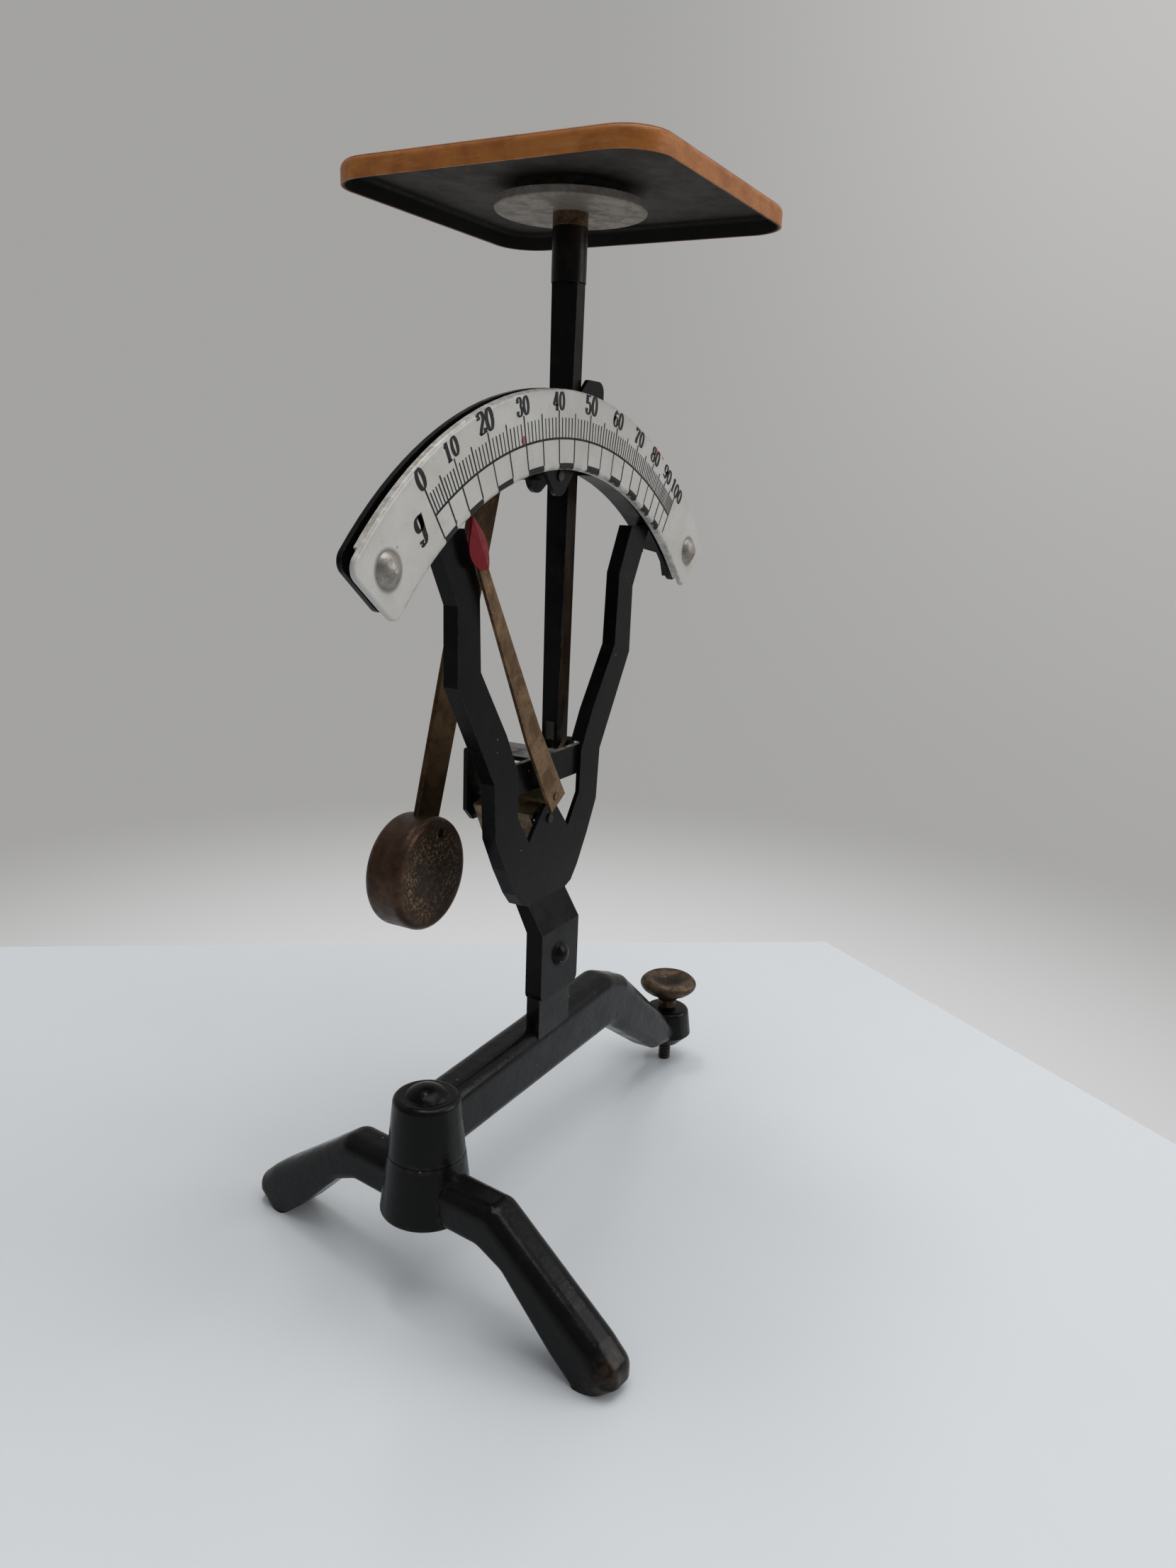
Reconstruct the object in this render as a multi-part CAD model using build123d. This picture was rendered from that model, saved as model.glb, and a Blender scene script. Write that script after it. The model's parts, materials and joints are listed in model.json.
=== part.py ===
from build123d import *
import os
from math import atan2, cos, radians, sin

# Pendulum letter scale: lyre frame on a cast folding stand, two pivoted levers, a hanging
# weight, a pointer on a printed arc and a lift-off pan on an upright stem.
#
# Frame: +X along the base bar towards the levelling screw, +Y to the back, +Z up, in
# millimetres. The origin is on the table, under the middle of the whole scale.

# ---- Driving dimensions -------------------------------------------------------------------

FIT = 0.06                      # radial clearance of a pin that turns in its hole
PIVOT_HEIGHT = 87.5             # lower frame pivot above the table
PIVOT_SPACING = 70.0            # lower frame pivot to upper frame pivot
LINK_REACH = 16.7               # frame pivot to stem pin, along X at rest
LINK_RISE = 11.8                # frame pivot to stem pin, along Z at rest
POINTER_TILT = 28.2             # pointer left of upright at rest, degrees
PENDULUM_TILT = 17.2            # pendulum left of plumb at rest, degrees

# Scale plate, centred on the lower pivot
PLATE_FRONT = -4.5
PLATE_THICK = 0.8
PLATE_INNER = 71.2
PLATE_OUTER = 86.0
PLATE_HALF_ANGLE = 50.8
PLATE_LIP = 0.8                 # depth of the rims turned back behind the plate
RIVET_RADIUS_ON_ARC = 78.8
RIVET_ANGLE = 46.6

# Lyre frame, pressed from sheet
FRAME_FRONT = -1.6
SHEET = 1.0
FLANGE = 3.2                    # full depth of the pressed arms, sheet included
ARC_INNER = 72.0
ARC_OUTER = 86.1
ARC_HALF_ANGLE = 50.0
ARC_RIB = 4.6                   # full depth of the rib under the arc, sheet included
NECK_FRONT = -5.3
NECK_HALF = 7.7
NECK_TOP = -17.5
NECK_BOTTOM = -38.8
NECK_RIVET_Z = -30.0
TAB_HALF = 8.4                  # half width of a bearing tab at its root

# Half outlines of the two arms, in X and Z from the lower pivot, each from the bottom up
ARM_OUTSIDE = [
    (NECK_HALF, NECK_TOP), (10.2, -16.6), (12.8, -13.6), (16.8, -7.2), (20.6, 0), (21.4, 11.4),
    (34.0, 32.0), (34.2, 46.8), (41.6, 60.2),
]
ARM_INSIDE = [
    (8.0, -3.6), (12.6, 3.0), (12.9, 12.4), (17.3, 20.6), (26.7, 34.2), (27.5, 50.0), (34.6, 64.2),
]

# Levers and pendulum, along Y
LEVER_SHEET = 0.9
LEVER_FRONT = 3.5
UPPER_LEVER_BACK = 13.6         # front face of the upper lever's back cheek
LOWER_LEVER_BACK = 10.2         # front face of the lower lever's back cheek
STEM_Y = 7.5
BEARING_BACK = 16.0             # front face of the back bearing plates
SHAFT_R = 1.0
STEM_PIN_R = 0.9
OPEN_PIVOT_GAP = 0.2            # radial clearance of the stem's lower eye

# Pendulum
ARM_THICK = 1.1
ARM_LENGTH = 76.0
WEIGHT_RADIUS = 11.6
WEIGHT_THICK = 8.6
WEIGHT_DISTANCE = 81.9          # upper pivot to the middle of the weight
WEIGHT_PIN_DROP = 73.5          # upper pivot to the weight's cross pin
PENDULUM_RIVET_PLACES = (-2.3, 2.3)

# Pointer
POINTER_THICK = 0.7
POINTER_FRONT = -3.15
POINTER_REACH = 70.6            # lower pivot to the point
TONGUE_X = 2.2                  # the lever's tongue, right of the pointer's own line
TONGUE_Z = 4.6

# Stem
STEM_BOTTOM = 9.4               # above the lower pivot, like the heights below
STEM_WEB_END = 17.4             # bottom of the web
STEM_WIDTH_BOTTOM = 3.8         # along Y, across the web
STEM_WIDTH_TOP = 6.1
STEM_DEPTH_BOTTOM = 4.6         # along X
STEM_DEPTH_TOP = 3.2
STEM_WALL = 0.8
SLEEVE_BOTTOM = 108.2
SLEEVE_TOP = 118.7
SLEEVE_R = 3.6
SPIGOT_R = 2.6

# Pan
PAN_SIDE = 69.6
PAN_CORNER = 9.0
PAN_SHEET = 0.8
PAN_DEPTH = 4.2
PAN_TOP = 126.4
PAN_DISC_R = 15.5
PAN_DISC_THICK = 1.8
PAN_DISC_UNDER = 121.3          # underside of the disc above the lower pivot
PAN_WASHER_R = 11.5
PAN_HOLE_R = 1.2
PAN_RIVET_HEAD_R = 2.4
PAN_RIVET_DEPTH = 3.9           # how far the rivet goes into the spigot

# Base casting and folding foot, heights from the lower pivot
HUB_FROM_PIVOT = 40.7
SCREW_FROM_PIVOT = 71.4
BAR_WIDTH = 9.0
BAR_TOP = -46.6
BAR_BOTTOM = -58.4
KNEE_TOP = -45.6                # the bar deepens a little towards its knee
KNEE_BOTTOM = -59.4
HUB_TOP = -46.0
HUB_SEAM = -57.7
HUB_BOTTOM = -70.4
HUB_TOP_R = 6.5
HUB_SEAM_R = 7.6
HUB_BOTTOM_R = 9.2
FOOT_REACH = 48.0
FOOT_WIDTH = 8.8
FOOT_TURN = -7.8                # how far the foot is turned from square, degrees
BOSS_R = 6.9
BOSS_TOP = -72.0
BOSS_BOTTOM = -82.4
POST_TOP = -24.2
POST_THICK = 3.2
AXLE_R = 2.6                    # axle of the folding foot
SCREW_R = 1.65
KNOB_R = 7.7

# ---- Places worked out from the dimensions ------------------------------------------------

plate_reach = PLATE_OUTER * sin(radians(PLATE_HALF_ANGLE))
half_length = (plate_reach + SCREW_FROM_PIVOT + KNOB_R) / 2
PIVOT_X = plate_reach - half_length
LOWER_PIVOT = Vector(PIVOT_X, 0, PIVOT_HEIGHT)
UPPER_PIVOT = LOWER_PIVOT + Vector(0, 0, PIVOT_SPACING)
LINK = Vector(LINK_REACH, 0, LINK_RISE)
LOWER_STEM_PIN = LOWER_PIVOT + LINK
UPPER_STEM_PIN = UPPER_PIVOT + LINK
STEM_X = LOWER_STEM_PIN.X
HUB_X = PIVOT_X - HUB_FROM_PIVOT
SCREW_X = PIVOT_X + SCREW_FROM_PIVOT
FRAME_BACK = FRAME_FRONT + SHEET
ARM_FRONT = UPPER_LEVER_BACK + LEVER_SHEET
ARM_MID = ARM_FRONT + ARM_THICK / 2


# ---- Small shared makers ------------------------------------------------------------------

def height(from_pivot):
    """Height above the table of a level measured from the lower pivot."""
    return PIVOT_HEIGHT + from_pivot


def outline(*points, radius=0.0):
    """Closed face through the points, with its corners rounded."""
    face = make_face(Polyline(*points, close=True))
    return fillet(face.vertices(), radius) if radius else face


def upright(face, front, thick):
    """The face, drawn in X and Z, as a slab from y = front to the back by its thickness."""
    return Pos(0, front + thick, 0) * extrude(Plane.XZ * face, thick)


def about(pivot, shape, tilt=0.0):
    """A shape drawn round the origin, turned to the left by tilt and moved to a pivot."""
    return Pos(pivot.X, 0, pivot.Z) * Rot(0, -tilt, 0) * shape


def sector(inner, outer, half_angle):
    """Part of a ring, symmetrical about straight up."""
    start = 90 - half_angle
    rim = CenterArc((0, 0), outer, start, 2 * half_angle)
    bore = CenterArc((0, 0), inner, start, 2 * half_angle)
    return make_face([rim, Line(rim @ 1, bore @ 1), bore, Line(bore @ 0, rim @ 0)])


def pin(radius, front, back):
    """Round bar along Y, round the origin in X and Z."""
    return Pos(0, (front + back) / 2, 0) * Rot(90, 0, 0) * Cylinder(radius, back - front)


def at_angle(radius, angle):
    """X and Z of a place on the arc, its angle measured from straight up to the right."""
    return radius * sin(radians(angle)), radius * cos(radians(angle))


def dome(radius, rise):
    """Quarter profile of a ball segment, from the top on the axis to the edge at height 0."""
    ball = (radius**2 + rise**2) / (2 * rise)
    half_turn = atan2(radius, ball - rise) / 2
    middle = (ball * sin(half_turn), rise - ball + ball * cos(half_turn))
    return ThreePointArc((0, rise), middle, (radius, 0))


def rivet(head_r, head_h, shank_r, length, tail_r, tail_h):
    """Rivet standing on Z: a domed head above 0, the shank below it and a flatter tail."""
    head = dome(head_r, head_h)
    tail = Pos(0, -length) * mirror(dome(tail_r, tail_h), Plane.XZ)
    body = Polyline((head_r, 0), (shank_r, 0), (shank_r, -length), (tail_r, -length))
    axis = Line((0, -length - tail_h), (0, head_h))
    profile = make_face([head, *body.edges(), *tail.edges(), axis])
    return revolve(Plane.XZ * profile, Axis.Z)


def facing_front(shape):
    """A shape that stands on Z, laid over so that its top faces the front."""
    return Rot(90, 0, 0) * shape


# ---- Scale plate --------------------------------------------------------------------------

def make_scale_plate():
    """Printed arc with both rims turned back and rounded end corners."""
    face = fillet(sector(PLATE_INNER, PLATE_OUTER, PLATE_HALF_ANGLE).vertices(), 2.6)
    plate = upright(face, PLATE_FRONT, PLATE_THICK)
    lip_angle = PLATE_HALF_ANGLE - 3.0
    lips = sector(PLATE_OUTER - 0.8, PLATE_OUTER, lip_angle)
    lips += sector(PLATE_INNER, PLATE_INNER + 0.8, lip_angle)
    plate += upright(lips, PLATE_FRONT + PLATE_THICK, PLATE_LIP)
    rims = plate.edges().filter_by(GeomType.CIRCLE).group_by(Axis.Y)[0]
    rims = [edge for edge in rims if edge.radius > 50]
    plate = fillet(rims, 0.65)
    for angle in (-RIVET_ANGLE, RIVET_ANGLE):
        x, z = at_angle(RIVET_RADIUS_ON_ARC, angle)
        plate -= Pos(x, 0, z) * pin(1.6, PLATE_FRONT - 1, PLATE_FRONT + 2)
    return about(LOWER_PIVOT, plate)


def make_scale_spacers():
    """Two bushes that hold the plate off the frame."""
    bushes = []
    for angle in (-RIVET_ANGLE, RIVET_ANGLE):
        x, z = at_angle(RIVET_RADIUS_ON_ARC, angle)
        bush = pin(2.6, PLATE_FRONT + PLATE_THICK, FRAME_FRONT) - pin(1.6, PLATE_FRONT, FRAME_BACK)
        bushes.append(about(LOWER_PIVOT, Pos(x, 0, z) * bush))
    return Compound(bushes)


def make_scale_rivets():
    """Two round-headed rivets through plate, bush and frame."""
    grip = FRAME_BACK - PLATE_FRONT
    rivets = []
    for angle in (-RIVET_ANGLE, RIVET_ANGLE):
        x, z = at_angle(RIVET_RADIUS_ON_ARC, angle)
        one = Pos(0, PLATE_FRONT, 0) * facing_front(rivet(3.0, 1.7, 1.6, grip, 2.4, 0.9))
        rivets.append(about(LOWER_PIVOT, Pos(x, 0, z) * one))
    return Compound(rivets)


# ---- Lyre frame ---------------------------------------------------------------------------

def mirrored(points):
    """The same points on the other side, in the reverse order."""
    return [(-x, z) for x, z in reversed(points)]


def bearing_tab(sign):
    """Three-cornered tab with a rounded tip, holding a bearing hole at the origin."""
    tab = outline((-TAB_HALF, -sign * 4.0), (0, sign * 5.4), (TAB_HALF, -sign * 4.0))
    tip = tab.vertices().sort_by(Axis.Y)[-1 if sign > 0 else 0]
    return fillet(tip, 3.0)


def make_lyre_frame():
    """Pressed frame: flanged arms, arc band with a rib, two bearing tabs and the neck."""
    arms = upright(outline(*ARM_OUTSIDE, *mirrored(ARM_OUTSIDE)), FRAME_FRONT, FLANGE)
    arms -= upright(outline(*ARM_INSIDE, *mirrored(ARM_INSIDE)), FRAME_FRONT - 1, FLANGE + 2)
    inside = [(x - SHEET if x > 0 else x + SHEET, z) for x, z in ARM_OUTSIDE + mirrored(ARM_OUTSIDE)]
    outside = [(x + SHEET if x > 0 else x - SHEET, z) for x, z in ARM_INSIDE + mirrored(ARM_INSIDE)]
    hollow = outline(*inside) - outline(*outside)
    arms -= upright(hollow, FRAME_BACK, FLANGE)
    arms -= Pos(0, FRAME_BACK + 5, 4.6) * Box(27.4, 10, 18.8)
    arms -= Pos(0, FRAME_BACK + 5, 6.6) * Box(35.6, 10, 14.8)
    arms = arms & pin(ARC_INNER + 0.6, FRAME_FRONT, FRAME_FRONT + FLANGE)
    frame = arms + upright(bearing_tab(1), FRAME_FRONT, SHEET)

    band = fillet(sector(ARC_INNER, ARC_OUTER, ARC_HALF_ANGLE).vertices(), 2.4)
    frame += upright(band, FRAME_FRONT, SHEET)
    rib = upright(sector(ARC_INNER, ARC_INNER + 0.9, ARC_HALF_ANGLE - 2), FRAME_BACK, ARC_RIB - SHEET)
    rib -= Box(30, 30, 300)
    for side in (-1, 1):
        x, z = at_angle(ARC_INNER, side * ARC_HALF_ANGLE)
        slope = Pos(x, FRAME_BACK + 3.4, z) * Rot(0, 0, side * 15) * Box(16, 4, 60)
        rib -= slope
    frame += rib
    frame += Pos(0, 0, PIVOT_SPACING) * upright(bearing_tab(-1), FRAME_FRONT, SHEET)

    frame += make_neck()
    for z in (0, PIVOT_SPACING):
        frame -= Pos(0, 0, z) * pin(SHAFT_R + FIT, FRAME_FRONT - 1, FRAME_BACK + 1)
    for angle in (-RIVET_ANGLE, RIVET_ANGLE):
        x, z = at_angle(RIVET_RADIUS_ON_ARC, angle)
        frame -= Pos(x, 0, z) * pin(1.6, FRAME_FRONT - 1, FRAME_BACK + 1)
    return about(LOWER_PIVOT, frame)


def make_neck():
    """Neck stepped to the front below the web, with side flanges, drilled for its rivet."""
    step = NECK_TOP - 6.0
    side = outline(
        (FRAME_FRONT, NECK_TOP + 0.6), (FRAME_FRONT, NECK_TOP), (NECK_FRONT, step),
        (NECK_FRONT, NECK_BOTTOM), (NECK_FRONT + 3.9, NECK_BOTTOM), (NECK_FRONT + 3.9, step),
        (FRAME_FRONT + FLANGE, NECK_TOP), (FRAME_FRONT + FLANGE, NECK_TOP + 0.6),
    )
    core = outline(
        (FRAME_BACK, NECK_TOP + 2.0), (FRAME_BACK, NECK_TOP - 0.2), (NECK_FRONT + SHEET, step - 0.2),
        (NECK_FRONT + SHEET, NECK_BOTTOM - 1), (NECK_FRONT + 9, NECK_BOTTOM - 1),
        (NECK_FRONT + 9, NECK_TOP + 2.0),
    )
    neck = extrude(Plane.YZ * side, NECK_HALF, both=True)
    neck -= extrude(Plane.YZ * core, NECK_HALF - SHEET, both=True)
    front = Pos(0, NECK_BOTTOM / 2) * Rectangle(2 * NECK_HALF, -NECK_BOTTOM)
    neck &= upright(fillet(front.vertices().group_by(Axis.Y)[0], 1.8), NECK_FRONT - 1, 12)
    return neck - Pos(0, 0, NECK_RIVET_Z) * pin(1.5, NECK_FRONT - 1, NECK_FRONT + 3)


def make_bearing_bracket(strap_z, bar_half, bar_drop, plate_drop, half_width):
    """Bent bracket behind the frame: cross bar, strap to the back and a hanging bearing plate.

    Heights are from the pivot that it carries."""
    bar = Pos(0, strap_z - bar_drop / 2) * Rectangle(2 * bar_half, bar_drop)
    bracket = upright(bar, FRAME_BACK, SHEET)
    strap_end = BEARING_BACK + LEVER_SHEET
    strap = Box(2 * half_width, strap_end - FRAME_BACK, SHEET)
    bracket += Pos(0, (FRAME_BACK + strap_end) / 2, strap_z - SHEET / 2) * strap
    plate = outline(
        (-half_width, strap_z), (-half_width, plate_drop + 2.6), (-half_width + 2.6, plate_drop),
        (half_width - 2.6, plate_drop), (half_width, plate_drop + 2.6), (half_width, strap_z),
    )
    bracket += upright(plate, BEARING_BACK, LEVER_SHEET)
    bend = bracket.edges().filter_by(Axis.X).group_by(Axis.Y)[-1].group_by(Axis.Z)[-1]
    bracket = fillet(bend, 0.7)
    return bracket - pin(SHAFT_R + FIT, BEARING_BACK - 1, strap_end + 1)


def make_lower_bracket():
    """Bracket over the lower lever, fixed behind the two arms."""
    return about(LOWER_PIVOT, make_bearing_bracket(13.7, 17.4, 6.6, -2.6, 5.3))


def make_upper_bracket():
    """The same bracket over the upper lever, hidden behind the arc."""
    return about(UPPER_PIVOT, make_bearing_bracket(11.3, 12.0, 6.6, -2.6, 4.4))


# ---- Levers -------------------------------------------------------------------------------

def link_face(pivot_r, pin_r):
    """Cheek of a lever: two round ends and the straight sides between them."""
    far = Vector(LINK_REACH, LINK_RISE)
    along = far.normalized()
    across = Vector(-along.Y, along.X)
    ends = Circle(pivot_r) + Pos(far.X, far.Y) * Circle(pin_r)
    corners = [across * pivot_r, across * -pivot_r, far - across * pin_r, far + across * pin_r]
    return ends + outline(*[(corner.X, corner.Y) for corner in corners])


def make_upper_lever():
    """U-shaped lever round the stem, its bridge standing up beyond the stem pin."""
    lever = Part()
    for front, top_left, low_left in (
        (LEVER_FRONT, (2.8, 8.0), (-2.8, 2.6)),
        (UPPER_LEVER_BACK, (7.2, 8.0), (5.2, 2.4)),
    ):
        horn = outline((-1.5, -1.6), (9.6, 1.2), (9.6, 8.0), top_left, low_left)
        top_corner = horn.vertices().sort_by(Axis.X)[-2:].sort_by(Axis.Y)[-1]
        cheek = link_face(3.4, 3.6) + Pos(LINK_REACH, LINK_RISE) * fillet(top_corner, 2.2)
        lever += upright(cheek, front, LEVER_SHEET)
    depth = UPPER_LEVER_BACK + LEVER_SHEET - LEVER_FRONT
    bridge_x = LINK_REACH + 9.6 - LEVER_SHEET / 2
    lever += Pos(bridge_x, LEVER_FRONT + depth / 2, LINK_RISE + 3.3) * Box(LEVER_SHEET, depth, 4.2)
    lever -= pin(SHAFT_R, LEVER_FRONT - 1, ARM_FRONT + 1)
    lever -= Pos(LINK_REACH, 0, LINK_RISE) * pin(STEM_PIN_R, LEVER_FRONT - 1, ARM_FRONT + 1)
    for place in PENDULUM_RIVET_PLACES:
        hole = Pos(0, 0, place) * pin(0.8, UPPER_LEVER_BACK - 1, ARM_FRONT + 1)
        lever -= Rot(0, PENDULUM_TILT, 0) * hole
    return about(UPPER_PIVOT, lever)


def make_shaft(pivot):
    """Pivot shaft from the front tab to the back bearing."""
    return about(pivot, pin(SHAFT_R, FRAME_FRONT - 0.35, BEARING_BACK + LEVER_SHEET + 0.35))


def make_lower_lever():
    """Folded lever: a channel along the shaft, two cheeks to the stem and a tongue to the front."""
    end = BEARING_BACK - 0.9
    web = Pos(0, (FRAME_BACK + 1.1 + end) / 2, 2.35) * Box(5.8, end - FRAME_BACK - 1.1, LEVER_SHEET)
    side_front = FRAME_BACK + 1.5
    side = Pos(-2.65, (side_front + end) / 2, -1.65) * Box(LEVER_SHEET, end - side_front, 9.3)
    lever = web + side
    tongue_front = POINTER_FRONT + POINTER_THICK
    tongue = Pos(TONGUE_X, (tongue_front + 4.6) / 2, TONGUE_Z) * Box(4.6, 4.6 - tongue_front, LEVER_SHEET)
    lever += tongue + Pos(TONGUE_X - 0.5, 4.15, 3.3) * Box(4.0, LEVER_SHEET, 2.8)
    ends = Circle(2.4) + Pos(-1.2, 0.6) * Rectangle(3.4, 4.4)
    lever += upright(ends, LEVER_FRONT, LEVER_SHEET)
    lever += upright(ends, end - LEVER_SHEET, LEVER_SHEET)
    lever = Rot(0, -POINTER_TILT, 0) * lever
    cheek = link_face(2.6, 2.3)
    lever += upright(cheek, LEVER_FRONT, LEVER_SHEET)
    lever += upright(cheek, LOWER_LEVER_BACK, LEVER_SHEET)
    lever -= pin(SHAFT_R, LEVER_FRONT - 1, BEARING_BACK)
    lever -= Pos(LINK_REACH, 0, LINK_RISE) * pin(STEM_PIN_R, LEVER_FRONT - 1, BEARING_BACK)
    return about(LOWER_PIVOT, lever)


def make_stem_pin(place, back_cheek):
    """Pin through both cheeks and the stem, with small turned-over ends."""
    back = back_cheek + LEVER_SHEET
    stem_pin = pin(STEM_PIN_R, LEVER_FRONT, back)
    stem_pin += pin(1.4, LEVER_FRONT - 0.35, LEVER_FRONT)
    stem_pin += pin(1.4, back, back + 0.35)
    return about(place, stem_pin)


def make_stem_spacer(place, back_cheek):
    """Tube on the stem pin that keeps the stem to the front of the lever."""
    share = (place.Z - height(STEM_BOTTOM)) / (SLEEVE_BOTTOM + 1 - STEM_BOTTOM)
    stem_width = STEM_WIDTH_BOTTOM + share * (STEM_WIDTH_TOP - STEM_WIDTH_BOTTOM)
    front = STEM_Y + stem_width / 2 + 0.2
    return about(place, pin(1.8, front, back_cheek - 0.05) - pin(STEM_PIN_R, front - 1, back_cheek + 1))


# ---- Pendulum -----------------------------------------------------------------------------

def hanging(shape):
    """A shape drawn below the upper pivot, swung out to the pendulum's place at rest."""
    return about(UPPER_PIVOT, shape, -PENDULUM_TILT)


def make_pendulum_arm():
    """Flat arm, a little wider at the pivot than at the weight."""
    arm = outline(
        (-4.3, 4.0), (4.3, 4.0), (4.3, -6), (3.6, -ARM_LENGTH), (-3.6, -ARM_LENGTH), (-4.3, -6),
    )
    top = arm.vertices().sort_by(Axis.Y)[-2:]
    arm = upright(fillet(top, 3.4), ARM_FRONT, ARM_THICK)
    arm -= pin(SHAFT_R, ARM_FRONT - 1, ARM_FRONT + 3)
    for place in PENDULUM_RIVET_PLACES:
        arm -= Pos(0, 0, place) * pin(0.8, ARM_FRONT - 1, ARM_FRONT + 3)
    arm -= Pos(0, 0, -WEIGHT_PIN_DROP) * pin(1.0, ARM_FRONT - 1, ARM_FRONT + 3)
    return hanging(arm)


def make_pendulum_rivets():
    """Two small rivets that hold the arm to the back cheek of the lever."""
    rivets = []
    for place in PENDULUM_RIVET_PLACES:
        one = pin(0.8, UPPER_LEVER_BACK, ARM_FRONT + ARM_THICK)
        one += pin(1.1, UPPER_LEVER_BACK - 0.4, UPPER_LEVER_BACK)
        rivets.append(hanging(Pos(0, 0, place) * one))
    return Compound(rivets)


def make_pendulum_weight():
    """Thick round bob with softened rims, slotted at the top for the arm."""
    bob = pin(WEIGHT_RADIUS, ARM_MID - WEIGHT_THICK / 2, ARM_MID + WEIGHT_THICK / 2)
    bob = Pos(0, 0, -WEIGHT_DISTANCE) * fillet(bob.edges().filter_by(GeomType.CIRCLE), 1.7)
    slot_bottom = ARM_LENGTH + 0.3
    slot_top = WEIGHT_DISTANCE - WEIGHT_RADIUS - 1
    slot = Box(7.5, ARM_THICK, slot_bottom - slot_top)
    bob -= Pos(0, ARM_MID, -(slot_bottom + slot_top) / 2) * slot
    bob -= Pos(0, 0, -WEIGHT_PIN_DROP) * pin(1.0, ARM_MID - 6, ARM_MID + 6)
    return hanging(bob)


def make_weight_pin():
    """Cross pin that holds the weight on the arm."""
    return hanging(Pos(0, 0, -WEIGHT_PIN_DROP) * pin(1.0, ARM_MID - 3.5, ARM_MID + 3.5))


# ---- Pointer ------------------------------------------------------------------------------

def make_pointer():
    """Tapered strip from the tongue of the lower lever to the red tip."""
    strip = outline((-0.6, 2.4), (5.5, 2.6), (3.2, 22.0), (1.2, 62.0), (-1.3, 62.0), (-1.9, 22.0))
    pointer = upright(strip, POINTER_FRONT, POINTER_THICK)
    pointer -= Pos(TONGUE_X, 0, TONGUE_Z) * pin(0.6, POINTER_FRONT - 1, POINTER_FRONT + 2)
    return about(LOWER_PIVOT, pointer, POINTER_TILT)


def make_pointer_rivet():
    """Spigot of the tongue, riveted over on the front of the pointer."""
    stub = pin(0.6, POINTER_FRONT, POINTER_FRONT + POINTER_THICK)
    stub += pin(0.95, POINTER_FRONT - 0.3, POINTER_FRONT)
    return about(LOWER_PIVOT, Pos(TONGUE_X, 0, TONGUE_Z) * stub, POINTER_TILT)


def make_pointer_tip():
    """Leaf-shaped tip folded along its middle, so that it has a ridge to the front."""
    low, wide, top = 60.2, 65.2, POINTER_REACH
    side = Spline((0, low), (2.2, low + 1.9), (2.7, wide), (1.5, wide + 2.9), (0.15, top))
    half = make_face([*side.edges(), Line((0.15, top), (0, top)), Line((0, top), (0, low))])
    leaf = half + mirror(half, Plane.YZ)
    blade = upright(leaf, POINTER_FRONT - 1.0, 1.0)
    ridge = outline((-3.2, 0.02), (0, -0.95), (3.2, 0.02), (3.2, 1.5), (-3.2, 1.5))
    wedge = Pos(0, POINTER_FRONT, 0) * extrude(ridge, 90)
    return about(LOWER_PIVOT, blade & wedge, POINTER_TILT)


# ---- Stem ---------------------------------------------------------------------------------

def stem_bar(inset, shift):
    """Tapering bar on the stem's line, narrower by twice the inset, moved along X by shift."""
    ends = []
    for z, depth, width in (
        (STEM_BOTTOM, STEM_DEPTH_BOTTOM, STEM_WIDTH_BOTTOM),
        (SLEEVE_BOTTOM + 1, STEM_DEPTH_TOP, STEM_WIDTH_TOP),
    ):
        ends.append(Pos(shift, STEM_Y, z) * Rectangle(depth, width - 2 * inset))
    return loft(ends, ruled=True)


def make_stem():
    """Channel folded from sheet, open to the right, rolled to a sleeve at the top."""
    bar = stem_bar(0, 0)
    low_edges = bar.edges().filter_by(Axis.Y).group_by(Axis.Z)[0]
    stem = fillet(low_edges, STEM_DEPTH_BOTTOM / 2 - 0.4) - stem_bar(STEM_WALL, STEM_WALL)
    fork = Box(4, STEM_WIDTH_BOTTOM - 2 * STEM_WALL, 2 * (STEM_WEB_END - STEM_BOTTOM))
    stem -= Pos(-STEM_DEPTH_BOTTOM / 2, STEM_Y, STEM_BOTTOM) * fork
    tube_length = SLEEVE_TOP - SLEEVE_BOTTOM
    stem += Pos(0, STEM_Y, SLEEVE_BOTTOM + tube_length / 2) * Cylinder(SLEEVE_R, tube_length)
    bore = Cylinder(SPIGOT_R + FIT, tube_length)
    stem -= Pos(0, STEM_Y, SLEEVE_BOTTOM + 0.8 + tube_length / 2) * bore
    stem -= Pos(3, STEM_Y, SLEEVE_BOTTOM + tube_length / 2) * Box(3, 0.7, tube_length + 2)
    for pin_z in (LINK_RISE, LINK_RISE + PIVOT_SPACING):
        clearance = FIT if pin_z > PIVOT_SPACING else OPEN_PIVOT_GAP
        stem -= Pos(0, 0, pin_z) * pin(STEM_PIN_R + clearance, STEM_Y - 5, STEM_Y + 5)
    return Pos(STEM_X, 0, PIVOT_HEIGHT) * stem


# ---- Pan ----------------------------------------------------------------------------------

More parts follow.
